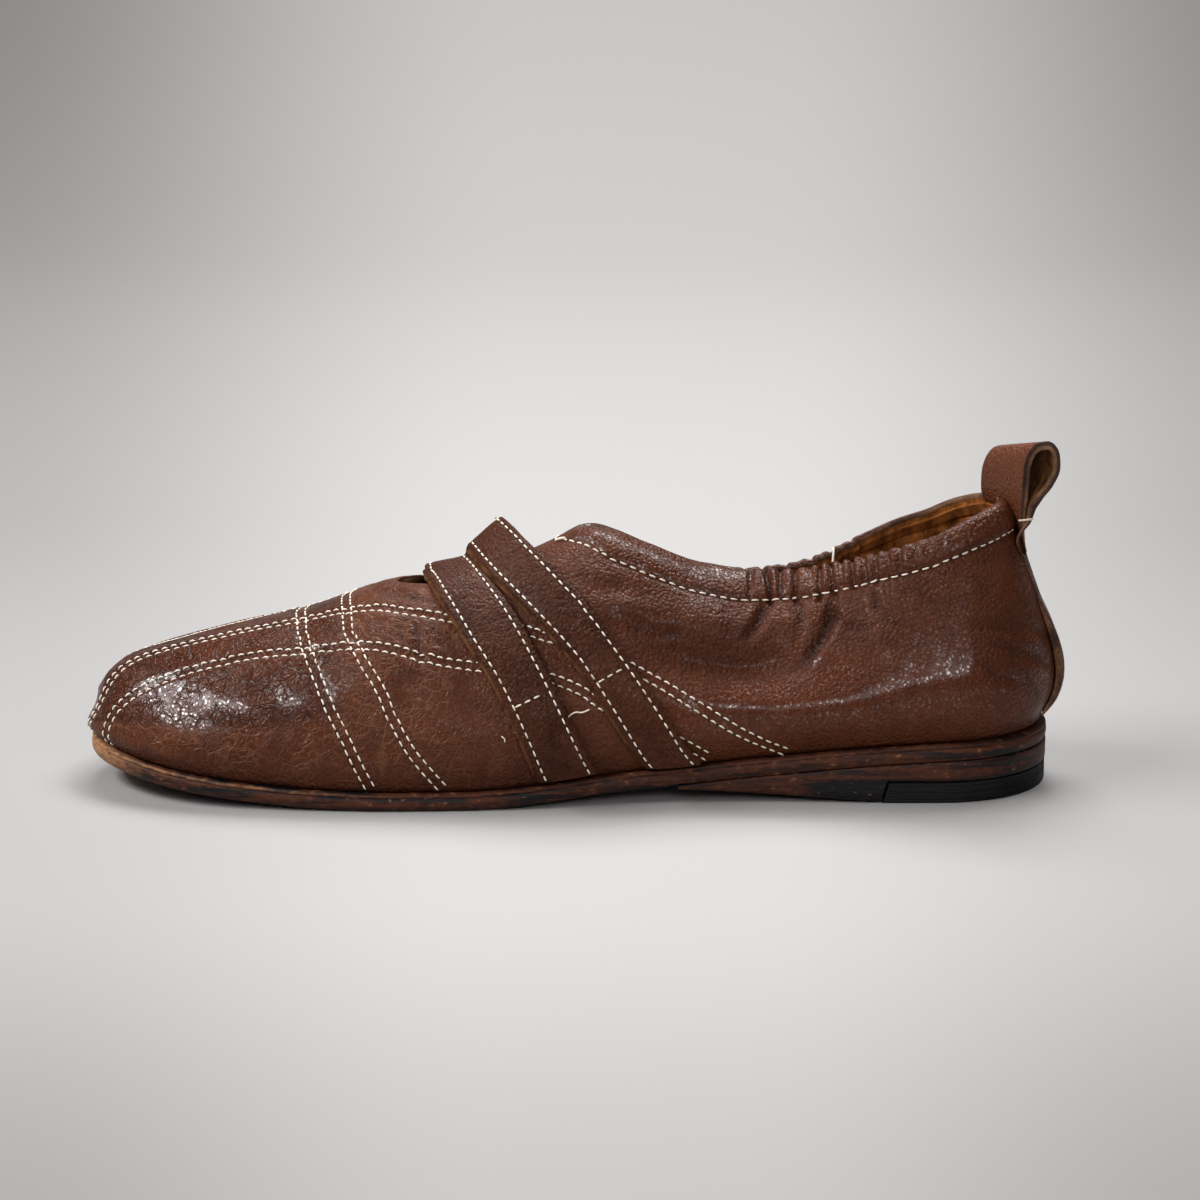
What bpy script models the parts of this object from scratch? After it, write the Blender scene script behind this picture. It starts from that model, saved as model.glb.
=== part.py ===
"""Left split-toe strap flat: leather sole, low heel, soft upper, two instep straps and a heel pull loop.

All sizes are millimetres in the shoe's own measure: s runs from the outsole's toe tip back to its heel,
y is minus on the lateral (outer) side and plus on the medial (inner) side, and z is height above the floor.
The scene is in metres with the toe towards -X, and its origin is under the middle of the shoe's box.
"""

import math

import bmesh
import bpy
import numpy as np

MM = 0.001

# Where the scene's origin lies in the shoe's own measure
ORIGIN_S = 132.1
ORIGIN_Y = 1.86

# Sole and heel
SOLE_LENGTH = 261.5
SOLE_THICKNESS = 4.7
TOE_SPRING = 7.8
BALL_START = 88.0
HEEL_ROUND = 32.0
TOE_ROUND = {"lateral": 44.0, "medial": 36.0}
INSOLE_THICKNESS = 2.0
INSOLE_CLEARANCE = 0.6
INSOLE_SOFTENING = 0.5
GAP = 0.3

# Upper
LEDGE = 2.0
WALL = 1.8
CASING_STEP = 0.8
CASING_SLOPE = 0.6
CASING_WALL = 3.2
OPENING_FRONT = 135.0
FAN_START = SOLE_LENGTH - HEEL_ROUND
RIM_BACK = 247.6
BULGE_HEIGHT = 0.27
BULGE_SHARPNESS = 1.7

# Straps, pull loop and back strip
STRAP_THICKNESS = 2.4
LOOP_THICKNESS = 2.0
LOOP_WIDTH = 20.0
BACK_STRIP_WIDTH = 17.0
BACK_STRIP_THICKNESS = 1.5
BACK_STRIP_LIFT = 0.5
BACK_STRIP_SHARES = (0.03, 0.82)
LOOP_END_SHARES = (0.85, 0.88, 0.91, 0.94, 0.97)

# How finely the pieces are divided
OUTSOLE_STEPS = 44
LIFT_STEPS = 8
HEEL_STEPS = 14
INSOLE_STEPS = 32
TOE_STEPS = 16
THROAT_STEPS = 10
BRIDGE_STEPS = 4
COLLAR_STEPS = 14
FAN_STEPS = 8
UPPER_ROWS = 11
STRAP_RINGS = 41
STRAP_PLACES = 4
BACK_STRIP_RINGS = 16
LOOP_RINGS = 33
LOOP_PLACES = 5


class Table:
    """Rows of sizes, read between the rows on a smooth curve that never overshoots them."""

    def __init__(self, names, rows):
        columns = np.array(rows, float).T
        self.at = columns[0]
        self.columns = dict(zip(names[1:], columns[1:]))
        self.slopes = {name: self.slopes_of(values) for name, values in self.columns.items()}

    def slopes_of(self, values):
        """Slope of the curve at each row: none at a peak or a dip, and a harmonic mean elsewhere."""
        steps = np.diff(values) / np.diff(self.at)
        before, after = steps[:-1], steps[1:]
        same_way = before * after > 0
        total = np.where(same_way, before + after, 1.0)
        inner = np.where(same_way, 2 * before * after / total, 0.0)
        return np.concatenate([steps[:1], inner, steps[-1:]])

    def __call__(self, name, where):
        values, slopes = self.columns[name], self.slopes[name]
        where = np.clip(np.asarray(where, float), self.at[0], self.at[-1])
        row = np.clip(np.searchsorted(self.at, where, side="right") - 1, 0, len(self.at) - 2)
        span = self.at[row + 1] - self.at[row]
        t = (where - self.at[row]) / span
        start = values[row] * (1 + 2 * t) * (1 - t) ** 2 + slopes[row] * span * t * (1 - t) ** 2
        end = values[row + 1] * t**2 * (3 - 2 * t) - slopes[row + 1] * span * t**2 * (1 - t)
        return start + end


# Half widths of the sole from its long axis, before its two ends are rounded off
OUTLINE = Table(
    ("s", "lateral", "medial"),
    [
        (0, 31.5, 36.0),
        (40, 35.6, 42.0),
        (62, 38.4, 43.6),
        (82, 39.4, 43.0),
        (110, 38.2, 38.0),
        (135, 34.6, 30.4),
        (160, 31.6, 26.6),
        (185, 30.2, 27.0),
        (215, 31.0, 30.4),
        (262, 31.0, 31.0),
    ],
)

# Height of the outsole's underside behind the forefoot's flat spot
ARCH = Table(
    ("s", "height"),
    [
        (106, 0.0),
        (122, 1.1),
        (140, 3.2),
        (160, 5.0),
        (185, 7.3),
        (215, 10.2),
        (240, 11.5),
        (262, 11.6),
    ],
)

# Underside of the heel lift, which steps up over the rubber top piece
LIFT_FOOT = Table(
    ("s", "height"),
    [
        (160, 4.0),
        (181, 2.6),
        (200, 1.2),
        (213.9, 0.5),
        (215.5, 5.9),
        (262, 5.9),
    ],
)

# The outsole's and the lift's edges from the foot up: the ring's inset and its share of the thickness
OUTSOLE_RINGS = [(1.1, 0.0), (0.3, 0.17), (0.0, 0.51), (0.2, 0.83), (0.8, 1.0)]
LIFT_RINGS = [(0.5, 0.0), (0.1, 0.2), (0.1, 0.8), (0.5, 1.0)]

# The rubber top piece from its foot up: the ring's inset, its height and where its front stands
TOP_PIECE_RINGS = [
    (0.7, 0.0, 214.4),
    (0.2, 0.5, 214.5),
    (0.2, 1.6, 214.8),
    (0.5, 1.9, 214.9),
    (0.2, 2.2, 215.0),
    (0.2, 3.5, 215.4),
    (0.5, 3.8, 215.5),
    (0.2, 4.1, 215.6),
    (0.2, 5.6, 216.0),
]

# The last: the ridge over the foot, and how each side wall rises to it
RIDGE = Table(
    ("s", "height", "shift", "fullness", "bulge"),
    [
        (2.0, 24.3, 0.0, 2.0, 3.0),
        (5, 28.8, 0.0, 2.0, 2.8),
        (10, 32.4, 0.2, 2.05, 2.4),
        (20, 35.8, 0.6, 2.1, 2.0),
        (40, 40.9, 1.5, 2.15, 1.8),
        (60, 45.6, 2.2, 2.15, 1.8),
        (82, 53.1, 2.8, 2.1, 2.0),
        (105, 56.8, 3.0, 2.05, 2.4),
        (120, 61.8, 2.6, 2.0, 2.8),
        (128, 65.6, 2.0, 2.0, 3.0),
        (135, 68.9, 1.6, 2.0, 3.2),
    ],
)

# The collar's rim behind the instep: how far it stands from the ridge line, its height on each side,
# the wall's arc and bulge, and the width of the casing along it
RIM = Table(
    ("s", "half_width", "lateral", "medial", "arc", "bulge", "casing"),
    [
        (135, 0.0, 68.9, 68.9, 90, 3.2, 8.0),
        (137, 2.4, 69.1, 68.6, 88, 3.2, 9.5),
        (142, 3.6, 68.4, 67.0, 85, 3.3, 12.5),
        (153, 4.3, 64.5, 62.3, 82, 3.5, 12.7),
        (167, 4.6, 59.5, 57.4, 79, 3.8, 12.2),
        (180, 4.9, 57.3, 55.6, 76, 4.0, 11.5),
        (190, 5.2, 57.5, 56.7, 74, 4.2, 11.0),
        (198, 6.0, 58.7, 58.6, 72, 4.3, 10.4),
        (206, 9.0, 60.9, 61.5, 70, 4.3, 9.4),
        (214, 13.0, 64.1, 65.0, 67, 4.3, 8.6),
        (222, 16.0, 67.3, 68.1, 63, 4.2, 8.6),
        (230, 17.0, 70.2, 70.6, 61, 4.1, 8.6),
    ],
)

# The collar's rim round the heel, by the angle turned from the side to the back
HEEL_RIM = Table(
    ("angle", "height", "arc", "bulge"),
    [(0, 70.4, 61, 4.1), (30, 74.5, 60, 4.2), (60, 76.6, 60, 4.3), (90, 77.0, 60, 4.4)],
)

# How far down each side from the ridge the throat's edge lies
THROAT = Table(
    ("s", "lateral", "medial"),
    [
        (82, 0.0, 0.0),
        (83.2, 4.5, 5.5),
        (86, 8.5, 12.5),
        (92, 12.5, 20.5),
        (102, 15.5, 23.5),
        (112, 17.5, 23.5),
        (117, 15.5, 20.0),
        (120, 9.5, 11.0),
        (121, 0.0, 0.0),
    ],
)


def both_sides(rows):
    """Rows given by share of the way up to the ridge, as rows across it from lateral (-1) to medial (1)."""
    lateral = [(share - 1, *sizes) for share, *sizes in rows]
    medial = [(1 - share, *sizes) for share, *sizes in rows[-2::-1]]
    return lateral + medial


# The two edges of each strap, and how far each stands off the last
STRAP_COLUMNS = ("across", "front", "rear", "lift_front", "lift_rear")
FRONT_STRAP = Table(
    STRAP_COLUMNS,
    both_sides(
        [
            (0.03, 122.8, 136.6, 0.2, 0.2),
            (0.20, 117.6, 129.7, 0.2, 0.2),
            (0.40, 110.9, 123.0, 0.2, 0.2),
            (0.60, 102.4, 116.5, 0.2, 0.2),
            (0.80, 95.6, 109.4, 0.4, 0.4),
            (1.00, 92.0, 103.2, 0.2, 1.0),
        ]
    ),
)
REAR_STRAP = Table(
    STRAP_COLUMNS,
    both_sides(
        [
            (0.03, 151.1, 164.2, 0.2, 0.2),
            (0.20, 142.9, 156.4, 0.2, 0.2),
            (0.40, 133.1, 146.4, 0.2, 0.2),
            (0.60, 122.2, 135.4, 0.3, 0.4),
            (0.80, 111.4, 123.4, 1.6, 2.8),
            (1.00, 104.4, 113.6, 4.2, 8.4),
        ]
    ),
)

# The pull loop above the collar: its middle line, and how it turns and tips away from the camera's side
LOOP = Table(
    ("step", "s", "height", "turn", "tip"),
    [
        (0, 250.3, 79.0, 10, 2),
        (1, 247.7, 83.0, 25, 8),
        (2, 248.2, 87.2, 27, 10),
        (3, 250.7, 90.2, 27, 10),
        (4, 253.8, 91.0, 27, 10),
        (5, 256.6, 89.2, 27, 10),
        (6, 257.6, 85.4, 26, 9),
        (7, 256.2, 81.2, 22, 7),
        (8, 253.9, 77.8, 14, 4),
    ],
)


# Measures of the sole and the last


def round_end(distance, length):
    """Share of the full width at this distance from an end that is rounded over that length."""
    left = np.clip(1 - np.asarray(distance, float) / length, 0, 1)
    return np.sqrt(1 - left**2)


def half_width(side, s, inset=0.0):
    """Distance from the long axis to the sole's edge on one side, drawn in by inset."""
    toe = round_end(s - inset, TOE_ROUND[side] - inset)
    heel = round_end(SOLE_LENGTH - inset - s, HEEL_ROUND - inset)
    return (OUTLINE(side, s) - inset) * toe * heel


def underside(s):
    """Height of the outsole's underside: toe spring, flat forefoot, then the arch."""
    spring = TOE_SPRING * np.clip(1 - s / BALL_START, 0, 1) ** 2
    return spring + ARCH("height", s)


def sole_top(s):
    """Height of the outsole's upper face."""
    return underside(s) + SOLE_THICKNESS


def eased(start, end, count, start_eased, end_eased):
    """Stations from start to end, closer together at each end that is eased."""
    t = np.linspace(0, 1, count + 1)
    if start_eased and end_eased:
        t = (1 - np.cos(np.pi * t)) / 2
    elif start_eased:
        t = 1 - np.cos(np.pi * t / 2)
    elif end_eased:
        t = np.sin(np.pi * t / 2)
    return start + (end - start) * t


def outward(side, s, inset):
    """Plan direction that points out of the shoe at its edge."""
    step = 0.05
    low, high = max(s - step, inset), min(s + step, SOLE_LENGTH - inset)
    run, rise = high - low, half_width(side, high, inset) - half_width(side, low, inset)
    across = -run if side == "lateral" else run
    return np.array([-rise, across]) / math.hypot(rise, run)


class Column:
    """One line up the side of the last, from the feather line to the ridge or to the collar's rim."""

    SAMPLES = 72

    def __init__(self, side, s=None, heel_angle=None):
        sign = -1.0 if side == "lateral" else 1.0
        if heel_angle is None:
            self.foot = np.array([s, sign * half_width(side, s, LEDGE)])
            self.set_top(side, sign, s)
        else:
            s = self.set_heel(side, sign, heel_angle)
        if s <= LEDGE:
            self.out = np.array([-1.0, 0.0])
        elif s >= SOLE_LENGTH - LEDGE:
            self.out = np.array([1.0, 0.0])
        else:
            self.out = outward(side, s, LEDGE)
        self.foot_height = float(sole_top(s)) + GAP
        self.casing = float(RIM("casing", s))
        self.points = self.trace()
        self.lengths = np.concatenate(
            [[0], np.cumsum(np.linalg.norm(np.diff(self.points, axis=0), axis=1))]
        )
        self.length = self.lengths[-1]

    def set_top(self, side, sign, s):
        """Ends the column on the ridge ahead of the opening, and on the rim behind it."""
        shift = float(RIDGE("shift", s))
        if s <= OPENING_FRONT:
            self.top = np.array([s, shift])
            self.top_height, self.arc = float(RIDGE("height", s)), math.radians(90)
            self.fullness, self.bulge = float(RIDGE("fullness", s)), float(RIDGE("bulge", s))
        else:
            self.top = np.array([s, shift + sign * float(RIM("half_width", s))])
            self.top_height, self.arc = float(RIM(side, s)), math.radians(float(RIM("arc", s)))
            self.fullness, self.bulge = 2.0, float(RIM("bulge", s))

    def set_heel(self, side, sign, angle):
        """Fans the columns round the heel, and gives the s of the column's foot."""
        turn = math.radians(angle)
        s = FAN_START + (HEEL_ROUND - LEDGE) * math.sin(turn)
        self.foot = np.array([s, sign * (OUTLINE(side, s) - LEDGE) * math.cos(turn)])
        rim_s = FAN_START + (RIM_BACK - FAN_START) * math.sin(turn)
        rim_y = float(RIDGE("shift", s)) + sign * float(RIM("half_width", FAN_START)) * math.cos(turn)
        self.top = np.array([rim_s, rim_y])
        self.top_height = float(HEEL_RIM("height", angle))
        self.arc = math.radians(float(HEEL_RIM("arc", angle)))
        self.fullness, self.bulge = 2.0, float(HEEL_RIM("bulge", angle))
        return s

    def trace(self):
        """Points up the wall: a rounded arch that swells outwards above the feather line."""
        turn = np.linspace(0, self.arc, self.SAMPLES)
        power = 2 / self.fullness
        cos, sin = np.clip(np.cos(turn), 0, 1) ** power, np.sin(turn) ** power
        inward, up = (1 - cos) / (1 - cos[-1]), sin / sin[-1]
        swell = (up / BULGE_HEIGHT * np.exp(1 - up / BULGE_HEIGHT)) ** BULGE_SHARPNESS
        swell *= self.bulge * np.sqrt((1 - up) / (1 - BULGE_HEIGHT))
        plan = self.foot + inward[:, None] * (self.top - self.foot) + swell[:, None] * self.out
        height = self.foot_height + up * (self.top_height - self.foot_height)
        return np.column_stack([plan, height])

    def at(self, share):
        """Point at a share of the column's length above the feather line."""
        where = np.clip(share, 0, 1) * self.length
        return np.array([np.interp(where, self.lengths, axis) for axis in self.points.T])


def last_point(s, across):
    """Point of the last's own surface, ahead of the heel fan; across is -1 at the lateral feather line."""
    side = "lateral" if across < 0 else "medial"
    return Column(side, s).at(1 - abs(across))


def last_normal(s, across):
    """Direction straight out of the last at a point."""
    along = last_point(s + 0.5, across) - last_point(s - 0.5, across)
    over = last_point(s, min(across + 0.01, 1)) - last_point(s, max(across - 0.01, -1))
    normal = np.cross(along, over)
    return normal / np.linalg.norm(normal)


# Making solids


def new_mesh(points, faces):
    """A mesh under construction from points in the shoe's measure, with doubled points merged."""
    bm = bmesh.new()
    verts = [bm.verts.new(((s - ORIGIN_S) * MM, (y - ORIGIN_Y) * MM, z * MM)) for s, y, z in points]
    for face in faces:
        bm.faces.new([verts[index] for index in face])
    bmesh.ops.remove_doubles(bm, verts=bm.verts, dist=1e-6)
    return bm


def new_object(name, bm, material):
    """Turns a mesh under construction into an object of the scene."""
    mesh = bpy.data.meshes.new(name)
    bm.to_mesh(mesh)
    bm.free()
    mesh.shade_smooth()
    mesh.set_sharp_from_angle(angle=math.radians(40))
    mesh.materials.append(material)
    obj = bpy.data.objects.new(name, mesh)
    bpy.context.scene.collection.objects.link(obj)
    return obj


def solid(name, points, faces, material):
    """An object from a closed set of faces, turned outwards."""
    bm = new_mesh(points, faces)
    bmesh.ops.recalc_face_normals(bm, faces=bm.faces)
    return new_object(name, bm, material)


def wall_faces(ring_count, ring_size):
    """Faces between each ring of points and the next."""
    faces = []
    for ring in range(ring_count - 1):
        for k in range(ring_size):
            a, b = ring * ring_size + k, ring * ring_size + (k + 1) % ring_size
            faces.append((a, b, b + ring_size, a + ring_size))
    return faces


def ladder(base, size):
    """Faces that close a ring whose first half runs along one side and second half back along the other."""
    half = size // 2
    return [(base + k, base + k + 1, base + size - 2 - k, base + size - 1 - k) for k in range(half - 1)]


def slab(name, stations, rings, material):
    """A sole layer: each ring gives an inset from the sole's edge, a height along s and its front."""
    points = []
    for inset, height, front in rings:
        reach = np.clip(stations, max(front, inset), SOLE_LENGTH - inset)
        points += [(s, -float(half_width("lateral", s, inset)), float(height(s))) for s in reach]
        points += [(s, float(half_width("medial", s, inset)), float(height(s))) for s in reach[::-1]]
    size = 2 * len(stations)
    faces = wall_faces(len(rings), size) + ladder(0, size) + ladder((len(rings) - 1) * size, size)
    return solid(name, points, faces, material)


def make_outsole(material):
    """The full-length leather outsole, with a softened edge."""
    def height(share):
        return lambda s: underside(s) + share * SOLE_THICKNESS

    rings = [(inset, height(share), 0) for inset, share in OUTSOLE_RINGS]
    return slab("outsole", eased(0, SOLE_LENGTH, OUTSOLE_STEPS, True, True), rings, material)


def make_heel_lift(material):
    """The leather wedge under the heel, cut away at its back for the rubber top piece."""
    def height(share):
        return lambda s: (1 - share) * LIFT_FOOT("height", s) + share * (underside(s) - GAP)

    front, step_foot, step_top = LIFT_FOOT.at[0], LIFT_FOOT.at[3], LIFT_FOOT.at[4]
    ahead = eased(front, step_foot, LIFT_STEPS, False, False)
    behind = eased(step_top, SOLE_LENGTH, HEEL_STEPS, False, True)
    rings = [(inset, height(share), 0) for inset, share in LIFT_RINGS]
    return slab("heel_lift", np.concatenate([ahead, behind]), rings, material)


def make_top_piece(material):
    """The black rubber under the back of the heel, with fine ribs round its side."""
    rings = [(inset, lambda s, level=level: level, front) for inset, level, front in TOP_PIECE_RINGS]
    lowest_front = TOP_PIECE_RINGS[0][2]
    stations = eased(lowest_front, SOLE_LENGTH, HEEL_STEPS, False, True)
    return slab("heel_top_piece", stations, rings, material)


def make_insole(material):
    """The insole, lying on the outsole inside the upper."""
    def height(above):
        return lambda s: sole_top(s) + GAP + above

    edge = LEDGE + WALL + INSOLE_CLEARANCE
    rings = [
        (edge, height(0), 0),
        (edge, height(INSOLE_THICKNESS - INSOLE_SOFTENING), 0),
        (edge + INSOLE_SOFTENING, height(INSOLE_THICKNESS), 0),
    ]
    return slab("insole", eased(edge, SOLE_LENGTH - edge, INSOLE_STEPS, True, True), rings, material)


def upper_columns(side):
    """The columns of one side of the upper, from the toe to the back of the heel."""
    throat_front, throat_back = THROAT.at[0], THROAT.at[-1]
    stations = [
        eased(LEDGE, throat_front, TOE_STEPS, True, False)[:-1],
        eased(throat_front, throat_back, THROAT_STEPS, True, True)[:-1],
        eased(throat_back, OPENING_FRONT, BRIDGE_STEPS, False, False)[:-1],
        eased(OPENING_FRONT, FAN_START, COLLAR_STEPS, True, False),
    ]
    columns = [Column(side, float(s)) for s in np.concatenate(stations)]
    fan = np.linspace(0, 90, FAN_STEPS + 1)[1:]
    return columns + [Column(side, heel_angle=angle) for angle in fan]


def throat_share(side, column):
    """Share of the column's length that is left under the throat's edge."""
    s = column.foot[0]
    if not THROAT.at[0] < s < THROAT.at[-1]:
        return 1.0
    return 1 - float(THROAT(side, s)) / column.length


def row_shares(side, column):
    """Shares of the column's length for its rows, with two rows at the edge of the collar's casing."""
    even = np.linspace(0, throat_share(side, column), UPPER_ROWS)
    below_rim = (column.casing + CASING_SLOPE, column.casing - CASING_SLOPE, column.casing / 2, 0)
    casing = [1 - distance / column.length for distance in below_rim]
    below = np.linspace(0, casing[0], UPPER_ROWS + 1 - len(casing))
    cased = np.concatenate([below, casing[1:]])
    behind_throat = (column.foot[0] - THROAT.at[-1]) / (OPENING_FRONT - THROAT.at[-1])
    blend = min(max(behind_throat, 0.0), 1.0)
    return (1 - blend) * even + blend * cased


def make_upper(material):
    """The hollow upper: open at the collar and the throat, and underneath where the sole closes it."""
    rows, points, faces, rim, casing = UPPER_ROWS, [], [], [], []
    for side in ("lateral", "medial"):
        base, columns = len(points), upper_columns(side)
        for column in columns:
            points += [column.at(share) for share in row_shares(side, column)]
        cased = [column for column in columns if column.foot[0] >= OPENING_FRONT]
        rim += [column.at(1) for column in cased]
        casing += [column.casing for column in cased]
        for index in range(len(columns) - 1):
            for a in range(base + index * rows, base + index * rows + rows - 1):
                face = (a, a + rows, a + rows + 1, a + 1)
                faces.append(face if side == "lateral" else face[::-1])
    bm = new_mesh(points, faces)
    raise_casing(bm, (np.array(rim) - (ORIGIN_S, ORIGIN_Y, 0)) * MM, np.array(casing) * MM)
    upper = new_object("upper", bm, material)
    upper.vertex_groups.new(name="wall")
    wall = upper.modifiers.new("wall", "SOLIDIFY")
    wall.thickness, wall.offset = CASING_WALL * MM, -1.0
    wall.vertex_group = "wall"
    return upper


def raise_casing(bm, rim, casing):
    """Steps the collar's casing out of the upper's sheet, and notes the wall's thickness at each point."""
    bm.normal_update()
    thickness = bm.verts.layers.deform.verify()
    for vert in bm.verts:
        below_rim = np.linalg.norm(rim - np.array(vert.co), axis=1)
        in_casing = below_rim.min() < casing[below_rim.argmin()]
        vert[thickness][0] = 1.0 if in_casing else WALL / CASING_WALL
        if in_casing:
            vert.co += vert.normal * CASING_STEP * MM


def band(name, rings, material):
    """A strip of leather: each ring is its under face from edge to edge, then its outer face back."""
    size = len(rings[0])
    points = [point for ring in rings for point in ring]
    faces = wall_faces(len(rings), size) + ladder(0, size) + ladder((len(rings) - 1) * size, size)
    return solid(name, points, faces, material)


def make_strap(name, table, material):
    """A strap laid over the last and the throat."""
    rings = []
    for across in np.linspace(table.at[0], table.at[-1], STRAP_RINGS):
        front, rear, lift_front, lift_rear = (float(table(column, across)) for column in STRAP_COLUMNS[1:])
        under, outer = [], []
        for share in np.linspace(0, 1, STRAP_PLACES):
            s = (1 - share) * front + share * rear
            lift = GAP + (1 - share) * lift_front + share * lift_rear
            point, normal = last_point(s, across), last_normal(s, across)
            under.append(point + normal * lift)
            outer.append(point + normal * (lift + STRAP_THICKNESS))
        rings.append(under + outer[::-1])
    return band(name, rings, material)


class HeelBack:
    """The back of the heel, as a surface of how far across and what share of the way up."""

    def __init__(self):
        angles = np.linspace(35, 90, 24)
        self.columns = [Column("lateral", heel_angle=angle) for angle in angles]
        self.columns += [Column("medial", heel_angle=angle) for angle in angles[-2::-1]]

    def at(self, y, share):
        """Point at a distance across from the middle of the heel."""
        line = np.array([column.at(share) for column in self.columns])
        middle = line[len(line) // 2, 1]
        return np.array([np.interp(y, line[:, 1] - middle, axis) for axis in line.T])

    def off(self, y, share, lift):
        """Point that stands off the heel."""
        across = self.at(y + 0.5, share) - self.at(y - 0.5, share)
        upward = self.at(y, share + 0.01) - self.at(y, share - 0.01)
        normal = np.cross(across, upward)
        return self.at(y, share) + normal / np.linalg.norm(normal) * lift


def make_back_strip(heel, material):
    """The flat strip down the back of the heel: its edges stand off the rounder heel."""
    half, rings = BACK_STRIP_WIDTH / 2, []
    for share in np.linspace(*BACK_STRIP_SHARES, BACK_STRIP_RINGS):
        places = [(y, GAP + BACK_STRIP_LIFT * (y / half) ** 2) for y in np.linspace(-half, half, 5)]
        under = [heel.off(y, share, lift) for y, lift in places]
        outer = [heel.off(y, share, lift + BACK_STRIP_THICKNESS) for y, lift in places]
        rings.append(under + outer[::-1])
    return band("back_strip", rings, material)


def make_pull_loop(heel, material):
    """The pull loop: both its ends lie on the collar's casing, one over the other."""
    inner = CASING_STEP + GAP
    outer = inner + LOOP_THICKNESS + GAP
    spread = np.linspace(-LOOP_WIDTH / 2, LOOP_WIDTH / 2, LOOP_PLACES)
    shares = LOOP_END_SHARES
    rings = [loop_end(heel, spread, share, inner, inner + LOOP_THICKNESS) for share in shares]
    rings += [loop_ring(spread, step) for step in np.linspace(0, LOOP.at[-1], LOOP_RINGS)]
    rings += [loop_end(heel, spread, share, outer + LOOP_THICKNESS, outer) for share in shares[::-1]]
    return band("pull_loop", rings, material)


def loop_end(heel, spread, share, under, over):
    """One ring of the loop's ends, which follow the round of the heel."""
    return [heel.off(y, share, under) for y in spread] + [heel.off(y, share, over) for y in spread[::-1]]


def loop_ring(spread, step):
    """One ring of the loop where it stands free."""
    def middle(where):
        return np.array([LOOP("s", where), RIDGE("shift", RIM_BACK), LOOP("height", where)])

    turn, tip = math.radians(float(LOOP("turn", step))), math.radians(float(LOOP("tip", step)))
    across = np.array([-math.sin(turn) * math.cos(tip), math.cos(turn) * math.cos(tip), -math.sin(tip)])
    along = middle(step + 0.05) - middle(step - 0.05)
    normal = np.cross(across, along)
    normal *= LOOP_THICKNESS / 2 / np.linalg.norm(normal)
    line = [middle(step) + across * y for y in spread]
    return [point - normal for point in line] + [point + normal for point in line[::-1]]


def plain(name, color, roughness):
    """A plain finish for one kind of piece."""
    material = bpy.data.materials.new(name)
    material.use_nodes = True
    shader = material.node_tree.nodes["Principled BSDF"]
    shader.inputs["Base Color"].default_value = (*color, 1.0)
    shader.inputs["Roughness"].default_value = roughness
    shader.inputs["Metallic"].default_value = 0.0
    return material


def main():
    """Clears the scene and builds every piece of the shoe."""
    for obj in list(bpy.data.objects):
        bpy.data.objects.remove(obj)
    brown = plain("upper_leather", (0.085, 0.034, 0.020), 0.42)
    strap_brown = plain("strap_leather", (0.065, 0.027, 0.018), 0.45)
    edge_brown = plain("sole_leather", (0.12, 0.045, 0.024), 0.6)
    rubber = plain("heel_rubber", (0.012, 0.012, 0.013), 0.55)
    tan = plain("insole_suede", (0.20, 0.10, 0.045), 0.85)
    heel = HeelBack()
    make_outsole(edge_brown)
    make_heel_lift(edge_brown)
    make_top_piece(rubber)
    make_insole(tan)
    make_upper(brown)
    make_strap("strap_front", FRONT_STRAP, strap_brown)
    make_strap("strap_rear", REAR_STRAP, strap_brown)
    make_back_strip(heel, strap_brown)
    make_pull_loop(heel, strap_brown)


if __name__ == "__main__":
    main()
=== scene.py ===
"""Looks of the split-toe strap flat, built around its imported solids.

Lengths are millimetres in the shoe's own measure unless a name says otherwise: s runs from the toe tip
back to the heel, y is minus on the lateral (outer) side and z is height above the floor. Girth is s as far
as the heel, and from there the way round it. A share is how far up a side a point lies, from the feather
line where upper and sole meet (0) to the ridge or the collar's rim (1).
"""

import functools
import logging
import math
from collections.abc import Callable, Iterator
from contextlib import contextmanager
from dataclasses import dataclass, field
from enum import Enum

import bpy
import numpy as np
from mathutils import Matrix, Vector, noise
from mathutils.bvhtree import BVHTree


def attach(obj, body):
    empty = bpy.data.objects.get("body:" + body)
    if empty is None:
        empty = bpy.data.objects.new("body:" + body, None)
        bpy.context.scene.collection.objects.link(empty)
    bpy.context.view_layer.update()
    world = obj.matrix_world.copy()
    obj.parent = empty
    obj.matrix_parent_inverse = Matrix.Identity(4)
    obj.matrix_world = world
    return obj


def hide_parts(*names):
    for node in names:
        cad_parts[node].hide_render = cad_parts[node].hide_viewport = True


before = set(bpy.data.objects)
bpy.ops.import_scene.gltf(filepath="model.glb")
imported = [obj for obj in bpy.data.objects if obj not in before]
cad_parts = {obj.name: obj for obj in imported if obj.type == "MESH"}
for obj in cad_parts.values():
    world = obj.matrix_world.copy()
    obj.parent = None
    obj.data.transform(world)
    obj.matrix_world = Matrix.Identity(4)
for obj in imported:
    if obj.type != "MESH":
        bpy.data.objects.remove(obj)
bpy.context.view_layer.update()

LOG = logging.getLogger("strap_flat")
MM = 0.001
ORIGIN = np.array([132.1, 1.86, 0.0])

Array = np.ndarray
Values = np.ndarray | float
Color = tuple[float, float, float]
Place = tuple[float, float, float]
Path = list[tuple[float, float]]
Step = tuple[float, float]
Swells = tuple[tuple[float, float, float], ...]
Piece = bpy.types.Object
Material = bpy.types.Material
Node = bpy.types.Node
Socket = bpy.types.NodeSocket


class Side(Enum):
    """The two sides of the shoe, and the sign of y on each."""

    LATERAL = -1
    MEDIAL = 1


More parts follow.
